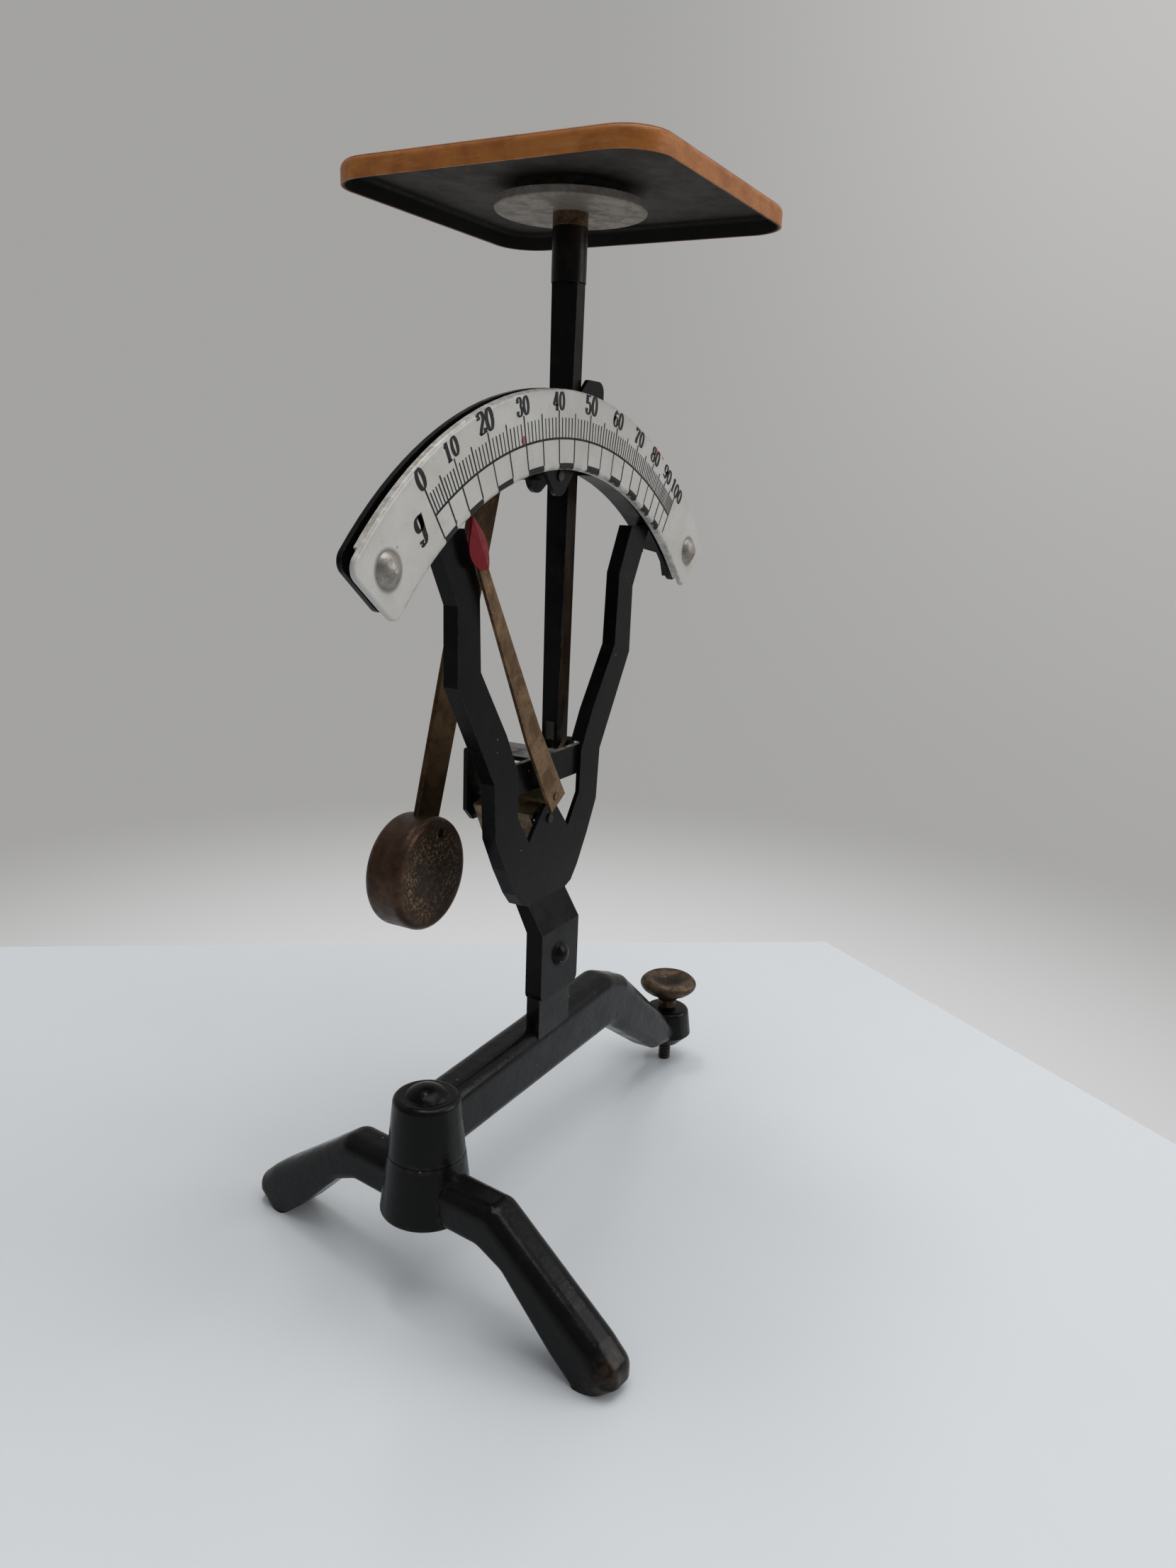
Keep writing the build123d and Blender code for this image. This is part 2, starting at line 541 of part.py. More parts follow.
def make_pan_tray():
    """Square tray, turned upside down, with rounded corners and a rolled top edge."""
    tray = extrude(RectangleRounded(PAN_SIDE, PAN_SIDE, PAN_CORNER), PAN_DEPTH)
    tray = fillet(tray.edges().group_by(Axis.Z)[-1], 1.6)
    inner = PAN_SIDE - 2 * PAN_SHEET
    cavity = extrude(RectangleRounded(inner, inner, PAN_CORNER - PAN_SHEET), PAN_DEPTH - PAN_SHEET)
    tray -= fillet(cavity.edges().group_by(Axis.Z)[-1], 0.8)
    countersink = Cone(PAN_HOLE_R, PAN_RIVET_HEAD_R, PAN_SHEET)
    tray -= Pos(0, 0, PAN_DEPTH - PAN_SHEET / 2) * countersink
    return Pos(STEM_X, STEM_Y, height(PAN_TOP) - PAN_DEPTH) * tray


def make_pan_washer():
    """Packing washer between the tray and the disc."""
    low = PAN_DISC_UNDER + PAN_DISC_THICK
    thick = PAN_TOP - PAN_SHEET - low
    washer = Cylinder(PAN_WASHER_R, thick) - Cylinder(PAN_HOLE_R, thick + 1)
    return Pos(STEM_X, STEM_Y, height(low + thick / 2)) * washer


def make_pan_disc():
    """Round bearing plate below the washer, with a softened lower edge."""
    disc = fillet(Cylinder(PAN_DISC_R, PAN_DISC_THICK).edges().group_by(Axis.Z)[0], 0.5)
    disc -= Cylinder(PAN_HOLE_R, 10)
    return Pos(STEM_X, STEM_Y, height(PAN_DISC_UNDER + PAN_DISC_THICK / 2)) * disc


def make_pan_spigot():
    """Collar under the disc and the plug that drops into the stem's sleeve."""
    collar = Cylinder(SLEEVE_R, PAN_DISC_UNDER - SLEEVE_TOP)
    collar = Pos(0, 0, (SLEEVE_TOP + PAN_DISC_UNDER) / 2) * collar
    plug = Pos(0, 0, SLEEVE_TOP - 4.5) * Cylinder(SPIGOT_R, 9.0)
    plug = chamfer(plug.edges().group_by(Axis.Z)[0], 0.6)
    bore = Cylinder(PAN_HOLE_R, PAN_RIVET_DEPTH + 0.02)
    bore = Pos(0, 0, PAN_DISC_UNDER - PAN_RIVET_DEPTH / 2) * bore
    return Pos(STEM_X, STEM_Y, PIVOT_HEIGHT) * (collar + plug - bore)


def make_pan_rivet():
    """Countersunk rivet, flush with the pan, that holds tray, washer, disc and spigot together."""
    length = PAN_TOP - PAN_DISC_UNDER + PAN_RIVET_DEPTH
    shank = Pos(0, 0, -length / 2) * Cylinder(PAN_HOLE_R, length)
    head = Pos(0, 0, -PAN_SHEET / 2) * Cone(PAN_HOLE_R, PAN_RIVET_HEAD_R, PAN_SHEET)
    return Pos(STEM_X, STEM_Y, height(PAN_TOP)) * (head + shank)


# ---- Base and foot ------------------------------------------------------------------------

def cone(bottom_z, top_z, bottom_r, top_r):
    """Upright cone between two levels measured from the lower pivot."""
    tall = top_z - bottom_z
    return Pos(0, 0, height((bottom_z + top_z) / 2)) * Cone(bottom_r, top_r, tall)


def bar_edges(bar):
    """Long edges of the bar's two sides, between the hub and the boss."""
    edges = [e for e in bar.edges() if abs(e.center().Y) > BAR_WIDTH / 2 - 0.01]
    return [e for e in edges if 1 - HUB_FROM_PIVOT < e.center().X < 66]


def make_base_bar():
    """Casting: hub, straight bar, sloping end with the screw boss and the post for the neck."""
    start = -HUB_FROM_PIVOT
    side = outline(
        (start, BAR_TOP), (28, KNEE_TOP), (37.5, -49.4), (SCREW_FROM_PIVOT - 8.5, BOSS_TOP + 1.8),
        (SCREW_FROM_PIVOT - 1, BOSS_BOTTOM + 2), (57, -78.0), (29.5, KNEE_BOTTOM), (start, BAR_BOTTOM),
    )
    knee = [v for v in side.vertices() if 20 < v.X < 60]
    side = fillet(knee, 6.0)
    bar = upright(side, -BAR_WIDTH / 2, BAR_WIDTH)
    upper = [e for e in bar_edges(bar) if e.center().Z > -52 - 0.75 * max(e.center().X - 33, 0)]
    bar = fillet(upper, 3.2)
    lower = [e for e in bar_edges(bar) if e.center().Z < -56 - 0.75 * max(e.center().X - 33, 0)]
    bar = fillet(lower, 2.3)
    bar = Pos(PIVOT_X, 0, PIVOT_HEIGHT) * bar

    hub = cone(HUB_SEAM, HUB_TOP, HUB_SEAM_R, HUB_TOP_R)
    hub = Pos(HUB_X, 0, 0) * fillet(hub.edges().group_by(Axis.Z)[-1], 1.2)
    belt = BOSS_BOTTOM + 3.2
    boss = cone(belt, BOSS_TOP, BOSS_R, BOSS_R - 1.0) + cone(BOSS_BOTTOM, belt, 3.6, BOSS_R)
    boss = fillet(boss.edges().group_by(Axis.Z)[-1], 1.2)
    boss = Pos(SCREW_X, 0, 0) * boss

    post_front = NECK_FRONT + SHEET
    post_half = NECK_HALF - SHEET - 0.3
    post = Pos(0, (BAR_TOP - 2 + POST_TOP) / 2) * Rectangle(2 * post_half, POST_TOP - BAR_TOP + 2)
    post = fillet(post.vertices().sort_by(Axis.Y)[-2:], 2.5)
    post = Pos(PIVOT_X, 0, PIVOT_HEIGHT) * upright(post, post_front, POST_THICK)

    casting = bar + hub + boss + post
    casting -= Pos(HUB_X, 0, height(HUB_SEAM) - 5) * Cylinder(HUB_SEAM_R + 1.2, 10)
    casting -= Pos(HUB_X, 0, height(HUB_SEAM)) * Cylinder(AXLE_R, 60)
    casting -= Pos(SCREW_X, 0, height(BOSS_TOP)) * Cylinder(SCREW_R + FIT, 60)
    casting -= Pos(PIVOT_X, 0, height(NECK_RIVET_Z)) * pin(1.5, post_front - 1, post_front + 7)
    return casting


def make_hub_rivet():
    """Axle of the folding foot, domed over the hub and riveted over underneath."""
    length = HUB_TOP - HUB_BOTTOM + 0.1
    return Pos(HUB_X, 0, height(HUB_TOP)) * rivet(4.3, 2.0, AXLE_R, length, 4.2, 1.1)


def make_neck_rivet():
    """Round-headed rivet that holds the neck to the post."""
    one = facing_front(rivet(2.9, 1.7, 1.5, SHEET + POST_THICK, 2.3, 0.9))
    return Pos(PIVOT_X, NECK_FRONT, height(NECK_RIVET_Z)) * one


def side_edges(leg):
    """Edges of a leg's two flat sides, outside the hub and above the sole."""
    edges = [e for e in leg.edges() if abs(abs(e.center().Y) - FOOT_WIDTH / 2) < 0.01]
    return [e for e in edges if e.center().X > 6 and e.center().Z > 1 - PIVOT_HEIGHT]


def make_foot_casting():
    """Two sloping legs on a hub that turns under the base bar."""
    reach = FOOT_REACH
    floor = -PIVOT_HEIGHT
    profile = outline(
        (0, -61.0), (19.5, -61.0), (reach - 4.2, -78.2), (reach, -82.0), (reach, -85.2),
        (reach - 2.5, floor), (reach - 9.0, floor), (reach - 13.6, -83.8), (22.5, -72.2),
        (16.5, -69.6), (0, -69.8),
    )
    profile = fillet([v for v in profile.vertices() if 10 < v.X < 30], 4.0)
    profile = fillet([v for v in profile.vertices() if v.X > 43 and v.Y > -84], 3.6)
    leg = upright(profile, -FOOT_WIDTH / 2, FOOT_WIDTH)
    upper = [e for e in side_edges(leg) if e.center().Z > -67 - 0.66 * max(e.center().X - 17, 0)]
    leg = fillet(upper, 3.2)
    lower = [e for e in side_edges(leg) if e.center().X > 20 and -85 < e.center().Z < -66]
    leg = fillet(lower, 1.6)
    legs = Rot(0, 0, 90) * leg + Rot(0, 0, -90) * leg
    legs = Rot(0, 0, FOOT_TURN) * legs
    legs = Pos(HUB_X, 0, PIVOT_HEIGHT) * legs
    legs -= Pos(HUB_X, 0, height(HUB_SEAM) + 10) * Cylinder(HUB_SEAM_R + 0.7, 20)
    hub = Pos(HUB_X, 0, 0) * cone(HUB_BOTTOM, HUB_SEAM - 0.15, HUB_BOTTOM_R, HUB_SEAM_R + 0.05)
    hub = fillet(hub.edges().group_by(Axis.Z)[0], 0.8)
    foot = legs + hub
    return foot - Pos(HUB_X, 0, height(HUB_SEAM)) * Cylinder(AXLE_R + FIT, 60)


# ---- Levelling screw ----------------------------------------------------------------------

def make_levelling_screw():
    """Threaded stud, drawn at its outside diameter, with a softened end on the table."""
    top = height(-65.6)
    stud = Pos(0, 0, top / 2) * Cylinder(SCREW_R, top)
    return Pos(SCREW_X, 0, 0) * chamfer(stud.edges().group_by(Axis.Z)[0], 0.3)


def make_levelling_knob():
    """Turned knob: dished top, round edge and a short neck."""
    rim = Spline((KNOB_R - 1.3, -63.2), (KNOB_R, -64.7), (KNOB_R - 1.6, -67.0))
    line = Polyline(
        (KNOB_R - 1.6, -67.0), (3.6, -68.2), (2.5, -69.6), (2.5, -71.4), (SCREW_R, -71.4),
        (SCREW_R, -65.6), (0, -65.6), (0, -64.6),
    )
    dish = Spline((0, -64.6), (2.6, -64.4), (KNOB_R - 2.6, -63.4), (KNOB_R - 1.3, -63.2))
    profile = make_face([*rim.edges(), *line.edges(), *dish.edges()])
    return Pos(SCREW_X, 0, PIVOT_HEIGHT) * revolve(Plane.XZ * profile, Axis.Z)


# ---- All nodes ----------------------------------------------------------------------------

def build_all():
    """Every node by name."""
    return {
        "base_bar": make_base_bar(),
        "hub_rivet": make_hub_rivet(),
        "foot_casting": make_foot_casting(),
        "levelling_screw": make_levelling_screw(),
        "levelling_knob": make_levelling_knob(),
        "lyre_frame": make_lyre_frame(),
        "neck_rivet": make_neck_rivet(),
        "lower_bearing_bracket": make_lower_bracket(),
        "upper_bearing_bracket": make_upper_bracket(),
        "scale_plate": make_scale_plate(),
        "scale_spacers": make_scale_spacers(),
        "scale_rivets": make_scale_rivets(),
        "upper_lever": make_upper_lever(),
        "upper_pivot_shaft": make_shaft(UPPER_PIVOT),
        "upper_stem_pin": make_stem_pin(UPPER_STEM_PIN, UPPER_LEVER_BACK),
        "upper_stem_spacer": make_stem_spacer(UPPER_STEM_PIN, UPPER_LEVER_BACK),
        "pendulum_arm": make_pendulum_arm(),
        "pendulum_rivets": make_pendulum_rivets(),
        "pendulum_weight": make_pendulum_weight(),
        "weight_pin": make_weight_pin(),
        "lower_lever": make_lower_lever(),
        "lower_pivot_shaft": make_shaft(LOWER_PIVOT),
        "lower_stem_pin": make_stem_pin(LOWER_STEM_PIN, LOWER_LEVER_BACK),
        "lower_stem_spacer": make_stem_spacer(LOWER_STEM_PIN, LOWER_LEVER_BACK),
        "pointer": make_pointer(),
        "pointer_rivet": make_pointer_rivet(),
        "pointer_tip": make_pointer_tip(),
        "stem": make_stem(),
        "pan_tray": make_pan_tray(),
        "pan_washer": make_pan_washer(),
        "pan_disc": make_pan_disc(),
        "pan_spigot": make_pan_spigot(),
        "pan_rivet": make_pan_rivet(),
    }


if __name__ == "__main__":
    os.makedirs("parts", exist_ok=True)
    for name, shape in build_all().items():
        export_step(shape, f"parts/{name}.step")
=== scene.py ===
import json
from math import atan, cos, degrees, pi, radians, sin

import bmesh
import bpy
from mathutils import Matrix, Vector


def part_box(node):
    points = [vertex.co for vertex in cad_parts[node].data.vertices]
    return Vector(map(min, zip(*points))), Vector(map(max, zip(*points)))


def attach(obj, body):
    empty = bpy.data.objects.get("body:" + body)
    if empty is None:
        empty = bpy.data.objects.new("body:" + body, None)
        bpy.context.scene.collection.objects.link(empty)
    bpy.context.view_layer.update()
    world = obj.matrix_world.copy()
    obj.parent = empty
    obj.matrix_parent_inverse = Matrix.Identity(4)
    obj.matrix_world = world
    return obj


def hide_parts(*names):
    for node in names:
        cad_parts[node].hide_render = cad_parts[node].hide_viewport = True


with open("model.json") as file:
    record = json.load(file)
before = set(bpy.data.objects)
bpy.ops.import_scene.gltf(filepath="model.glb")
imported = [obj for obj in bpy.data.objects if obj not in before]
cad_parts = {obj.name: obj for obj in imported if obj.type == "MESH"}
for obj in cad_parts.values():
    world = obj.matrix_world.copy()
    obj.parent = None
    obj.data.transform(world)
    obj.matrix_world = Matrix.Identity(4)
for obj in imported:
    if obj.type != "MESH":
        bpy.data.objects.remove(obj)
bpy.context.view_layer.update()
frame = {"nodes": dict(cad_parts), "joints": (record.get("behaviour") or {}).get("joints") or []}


# ---- Base bar -----------------------------------------------------------------------------
# One grey-iron sand casting: hub, bar, sloping end with the screw boss and the upright post.
# Dipped in black lacquer, which shows the casting skin; its ridges are greyer, partly rubbed and
# partly a painted highlight.

def put(tree, kind, sockets=None, **settings):
    """A shader node with its settings, and its sockets wired or filled."""
    made = tree.nodes.new(kind)
    for name, value in settings.items():
        setattr(made, name, value)
    for name, value in (sockets or {}).items():
        socket = made.inputs[name]
        if isinstance(value, bpy.types.NodeSocket):
            tree.links.new(value, socket)
        else:
            socket.default_value = value
    return made


def sums(tree, operation, *values):
    """The result of one sum on two or three values."""
    return put(tree, "ShaderNodeMath", dict(enumerate(values)), operation=operation).outputs[0]


def vector_sums(tree, operation, *values):
    """The results of one sum on places or directions: first as a vector, then as a value."""
    return put(tree, "ShaderNodeVectorMath", dict(enumerate(values)), operation=operation).outputs


def ramp(tree, value, low, high, bottom=0.0, top=1.0):
    """A value eased from bottom to top while the input goes from low to high."""
    sockets = {"Value": value, "From Min": low, "From Max": high, "To Min": bottom, "To Max": top}
    return put(tree, "ShaderNodeMapRange", sockets, interpolation_type="SMOOTHSTEP").outputs[0]


def tint(tree, mask, under, over, share=1.0):
    """One colour laid over another where the mask is 1, or only a share of it."""
    if share < 1.0:
        mask = sums(tree, "MULTIPLY", mask, share)
    made = put(tree, "ShaderNodeMix", {0: mask, 6: under, 7: over}, data_type="RGBA")
    return made.outputs[2]


def effect(name, inputs, outputs):
    """An empty shader group with its sockets, and the inside ends of them."""
    tree = bpy.data.node_groups.new(name, "ShaderNodeTree")
    for label, kind, value in inputs:
        socket = tree.interface.new_socket(label, in_out="INPUT", socket_type=kind)
        if value is not None:
            socket.default_value = value
    for label in outputs:
        tree.interface.new_socket(label, in_out="OUTPUT", socket_type="NodeSocketFloat")
    return tree, tree.nodes.new("NodeGroupInput").outputs, tree.nodes.new("NodeGroupOutput").inputs


edge_band_mask, given, result = effect(
    "edge_band_mask",
    [("Vector", "NodeSocketVector", None), ("Width", "NodeSocketFloat", 0.0005),
     ("Break", "NodeSocketFloat", 700.0)],
    ["Mask"],
)
rounded = put(edge_band_mask, "ShaderNodeBevel", {"Radius": given["Width"]}, samples=6)
facing = put(edge_band_mask, "ShaderNodeNewGeometry")
turned = vector_sums(edge_band_mask, "DOT_PRODUCT", rounded.outputs[0], facing.outputs["Normal"])
edge = ramp(edge_band_mask, turned["Value"], 0.985, 0.86)
broken = put(edge_band_mask, "ShaderNodeTexNoise",
             {"Vector": given["Vector"], "Scale": given["Break"], "Detail": 5.0, "Roughness": 0.65})
broken = ramp(edge_band_mask, broken.outputs[0], 0.42, 0.62)
edge_band_mask.links.new(sums(edge_band_mask, "MULTIPLY", edge, broken), result["Mask"])

blotches, given, result = effect(
    "blotches",
    [("Vector", "NodeSocketVector", None), ("Scale", "NodeSocketFloat", 300.0),
     ("Start", "NodeSocketFloat", 0.4), ("Full", "NodeSocketFloat", 0.65)],
    ["Mask"],
)
cloud = put(blotches, "ShaderNodeTexNoise",
            {"Vector": given["Vector"], "Scale": given["Scale"], "Detail": 6.0, "Roughness": 0.62,
             "Distortion": 0.4})
blotches.links.new(ramp(blotches, cloud.outputs[0], given["Start"], given["Full"]), result["Mask"])

specks, given, result = effect(
    "specks",
    [("Vector", "NodeSocketVector", None), ("Scale", "NodeSocketFloat", 700.0),
     ("Share", "NodeSocketFloat", 0.06), ("Size", "NodeSocketFloat", 0.2)],
    ["Mask"],
)
grains = put(specks, "ShaderNodeTexVoronoi", {"Vector": given["Vector"], "Scale": given["Scale"]})
chance = put(specks, "ShaderNodeSeparateColor", {0: grains.outputs["Color"]})
chosen = sums(specks, "LESS_THAN", chance.outputs[0], given["Share"])
half_size = sums(specks, "MULTIPLY", given["Size"], 0.5)
spot = ramp(specks, grains.outputs["Distance"], given["Size"], half_size)
specks.links.new(sums(specks, "MULTIPLY", chosen, spot), result["Mask"])


def use(tree, group, place, **values):
    """One of the shared effects, with its own values."""
    made = put(tree, "ShaderNodeGroup", node_tree=group)
    tree.links.new(place, made.inputs["Vector"])
    for name, value in values.items():
        made.inputs[name].default_value = value
    return made.outputs["Mask"]


def new_finish(name, **constants):
    """A material with its shader's plain values, its node tree and the object's own coordinates."""
    material = bpy.data.materials.new(name)
    material.use_nodes = True
    tree = material.node_tree
    shader = tree.nodes["Principled BSDF"]
    for label, value in constants.items():
        shader.inputs[label.replace("_", " ")].default_value = value
    place = put(tree, "ShaderNodeTexCoord").outputs["Object"]
    return material, tree, shader, place


def skin(tree, shader, place, scale, fine, depth, extra=None):
    """Surface unevenness: slow waves, a fine grain and, if given, a height of its own."""
    waves = put(tree, "ShaderNodeTexNoise", {"Vector": place, "Scale": scale, "Detail": 3.0})
    grain = put(tree, "ShaderNodeTexNoise", {"Vector": place, "Scale": fine, "Detail": 4.0})
    height = sums(tree, "MULTIPLY_ADD", grain.outputs[0], 0.35, waves.outputs[0])
    if extra is not None:
        height = sums(tree, "ADD", height, extra)
    bump = put(tree, "ShaderNodeBump", {"Height": height, "Distance": depth, "Strength": 1.0})
    tree.links.new(bump.outputs[0], shader.inputs["Normal"])


def paint(tree, shader, colour, rough):
    """A finish's colour and roughness, wired to its shader."""
    tree.links.new(colour, shader.inputs["Base Color"])
    tree.links.new(rough, shader.inputs["Roughness"])


def give_finish(node_names, material):
    """Gives CAD nodes a finish in place of their plain one."""
    for node_name in node_names:
        materials = frame["nodes"][node_name].data.materials
        materials.clear()
        materials.append(material)


def black_lacquer(name, waves, grain, depth, edge_width, edge_wear_and_highlight_colour, brown, rough, **coat):
    """Old black lacquer on iron or steel, greyer along its edges (rubbed, and a painted highlight),
    a little brown and dusty.
    """
    material, tree, shader, place = new_finish(name, Specular_IOR_Level=0.10, **coat)
    wear_and_highlight = use(tree, edge_band_mask, place, Width=edge_width, Break=620.0)
    thin = use(tree, blotches, place, Scale=240.0, Start=0.5, Full=0.78)
    dust = use(tree, specks, place, Scale=520.0, Share=0.035, Size=0.13)
    smeared = use(tree, blotches, place, Scale=130.0, Start=0.3, Full=0.7)
    black = (0.0027, 0.0027, 0.0029, 1)
    dust_grey = (0.21, 0.20, 0.18, 1)
    colour = tint(tree, thin, black, brown)
    colour = tint(tree, wear_and_highlight, colour, edge_wear_and_highlight_colour, 0.45)
    colour = tint(tree, dust, colour, dust_grey, 0.6)
    gloss = ramp(tree, smeared, 0.0, 1.0, rough - 0.09, rough + 0.1)
    paint(tree, shader, colour, sums(tree, "MULTIPLY_ADD", wear_and_highlight, 0.15, gloss))
    skin(tree, shader, place, waves, grain, depth)
    return material, tree, shader, place, colour


sand_cast = {
    "waves": 330.0, "grain": 1500.0, "depth": 0.00013, "brown": (0.006, 0.005, 0.004, 1),
    "rough": 0.27, "Coat_Weight": 0.10, "Coat_Roughness": 0.14,
}
# The wide grey band along the casting's ridges is partly rubbed lacquer and partly a painted
# highlight.
casting_lacquer, *_ = black_lacquer(
    "casting_lacquer", edge_width=0.0020, edge_wear_and_highlight_colour=(0.034, 0.032, 0.030, 1), **sand_cast)
give_finish(["base_bar"], casting_lacquer)


# ---- Folding foot and its axle ------------------------------------------------------------
# The two legs are one casting that turns under the hub, on a domed iron axle riveted below.
# The lacquer is worn through to rust at the tip of the front leg, where the scale is pushed.

def distance(tree, place, centre):
    """How far each point of a surface is from a place."""
    return vector_sums(tree, "DISTANCE", place, centre)["Value"]


foot_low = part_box("foot_casting")[0]
rust_place = Vector((foot_low.x + 0.0045, foot_low.y + 0.0035, 0.0035))
rust_brown = (0.050, 0.031, 0.021, 1)
foot_lacquer, tree, shader, place, colour = black_lacquer(
    "foot_lacquer", edge_width=0.0026, edge_wear_and_highlight_colour=(0.046, 0.043, 0.040, 1), **sand_cast)
near_tip = ramp(tree, distance(tree, place, rust_place), 0.0062, 0.0024)
eaten = use(tree, blotches, place, Scale=520.0, Start=0.40, Full=0.62)
rust = sums(tree, "MULTIPLY", near_tip, eaten)
tree.links.new(tint(tree, rust, colour, rust_brown), shader.inputs["Base Color"])
give_finish(["foot_casting"], foot_lacquer)

axle_lacquer, *_ = black_lacquer(
    "axle_lacquer", waves=420.0, grain=1800.0, depth=0.00008, edge_width=0.0005,
    edge_wear_and_highlight_colour=(0.045, 0.039, 0.032, 1), brown=(0.008, 0.007, 0.005, 1), rough=0.22)
give_finish(["hub_rivet", "neck_rivet"], axle_lacquer)


# ---- Levelling screw and its knob ---------------------------------------------------------
# A steel stud with a rolled thread, screwed through the boss, its end on the table.
# The brass knob is turned with a dished top and soldered on; its patina is brown.

screw_low, screw_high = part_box("levelling_screw")
screw_centre = (screw_low + screw_high) / 2
crest = (screw_high.x - screw_low.x) / 2
thread_depth = 0.00038
root = crest - thread_depth
pitch = 0.0007
tooth = ((0.0, root), (0.12, root), (0.44, crest), (0.56, crest), (0.88, root))
thread = bmesh.new()
ring = []
level = screw_low.z - pitch
while level < screw_high.z + pitch:
    for share, radius in tooth:
        corner = (screw_centre.x + radius, screw_centre.y, level + share * pitch)
        ring.append(thread.verts.new(corner))
    level += pitch
profile = [thread.edges.new(pair) for pair in zip(ring, ring[1:])]
turn_steps = 40
weld_reach = 0.000004
bmesh.ops.spin(thread, geom=ring + profile, cent=screw_centre, axis=(0, 0, 1),
               dvec=(0, 0, pitch / turn_steps), angle=2 * pi, steps=turn_steps, use_merge=False)
bmesh.ops.remove_doubles(thread, verts=thread.verts, dist=weld_reach)
for cut_level, keep_up in ((screw_low.z, True), (screw_high.z, False)):
    everything = thread.verts[:] + thread.edges[:] + thread.faces[:]
    cut = bmesh.ops.bisect_plane(
        thread, geom=everything, plane_co=(0, 0, cut_level), plane_no=(0, 0, 1),
        clear_inner=keep_up, clear_outer=not keep_up)
    rim = [part for part in cut["geom_cut"] if isinstance(part, bmesh.types.BMEdge)]
    bmesh.ops.contextual_create(thread, geom=rim)
bmesh.ops.recalc_face_normals(thread, faces=thread.faces)


def mesh_object(name, shape, material):
    """A mesh object made from a bmesh, with its material."""
    mesh = bpy.data.meshes.new(name)
    shape.to_mesh(mesh)
    shape.free()
    mesh.materials.append(material)
    made = bpy.data.objects.new(name, mesh)
    bpy.context.scene.collection.objects.link(made)
    return made


def new_piece(name, shape, material, body):
    """A piece made from a bmesh, with its material, riding on its body."""
    piece = mesh_object(name, shape, material)
    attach(piece, body)
    return piece


def steel(name, light, dark, rough):
    """Bare steel, oiled and darkened with age, with a few brown stains."""
    material, tree, shader, place = new_finish(name, Metallic=0.9)
    stain = use(tree, blotches, place, Scale=420.0, Start=0.38, Full=0.68)
    brown_stain = use(tree, specks, place, Scale=900.0, Share=0.2, Size=0.4)
    colour = tint(tree, stain, light, dark)
    colour = tint(tree, brown_stain, colour, (0.07, 0.04, 0.022, 1), 0.5)
    paint(tree, shader, colour, ramp(tree, stain, 0.0, 1.0, rough, rough + 0.2))
    skin(tree, shader, place, 900.0, 3000.0, 0.00003)
    return material


oiled_steel = steel(
    "oiled_steel", light=(0.085, 0.075, 0.065, 1), dark=(0.030, 0.026, 0.022, 1), rough=0.32)
screw = new_piece("screw_thread", thread, oiled_steel, "levelling_foot")
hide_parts("levelling_screw")


def patina_brass(name, dark, light, cloud, edge_width, rough, metal=0.85, pits=0.0, rub=0.55):
    """Brass under a brown patina: cloudy, rubbed lighter at its edges, pitted if it is old cast."""
    material, tree, shader, place = new_finish(name, Metallic=metal)
    cloudy = use(tree, blotches, place, Scale=cloud, Start=0.34, Full=0.66)
    rubbed = use(tree, edge_band_mask, place, Width=edge_width, Break=900.0)
    spots = use(tree, specks, place, Scale=1500.0, Share=0.22, Size=0.42)
    colour = tint(tree, cloudy, dark, light)
    colour = tint(tree, rubbed, colour, (0.30, 0.21, 0.11, 1), rub)
    colour = tint(tree, spots, colour, (0.022, 0.016, 0.011, 1), 0.55)
    paint(tree, shader, colour, ramp(tree, cloudy, 0.0, 1.0, rough + 0.12, rough))
    skin(tree, shader, place, 700.0, 2600.0, 0.00005, sums(tree, "MULTIPLY", spots, -pits))
    return material, tree, shader, place, colour


knob_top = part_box("levelling_knob")[1].z
dish_middle = (screw_centre.x, screw_centre.y, knob_top)
dish_dirt = (0.024, 0.016, 0.012, 1)
knob_brass, tree, shader, place, colour = patina_brass(
    "knob_brass", dark=(0.042, 0.028, 0.018, 1), light=(0.108, 0.072, 0.045, 1), cloud=420.0,
    edge_width=0.0007, rough=0.42)
in_dish = ramp(tree, distance(tree, place, dish_middle), 0.0048, 0.0028)
dirty = use(tree, blotches, place, Scale=700.0, Start=0.25, Full=0.5)
in_dish = sums(tree, "MULTIPLY", in_dish, dirty)
tree.links.new(tint(tree, in_dish, colour, dish_dirt), shader.inputs["Base Color"])
give_finish(["levelling_knob"], knob_brass)


# ---- Lyre frame ---------------------------------------------------------------------------
# Pressed from 1 mm sheet steel, with turned edges along both arms and a rib under the arc.
# Stove-blacked: smooth, satin, with dust specks and thin grey lines along its edges, partly where
# it has been handled and partly a painted highlight.

frame_lacquer, *_ = black_lacquer(
    "frame_lacquer", waves=160.0, grain=1900.0, depth=0.00006, edge_width=0.00045,
    edge_wear_and_highlight_colour=(0.042, 0.037, 0.031, 1), brown=(0.005, 0.0045, 0.004, 1), rough=0.27)
give_finish(["lyre_frame", "upper_lever"], frame_lacquer)
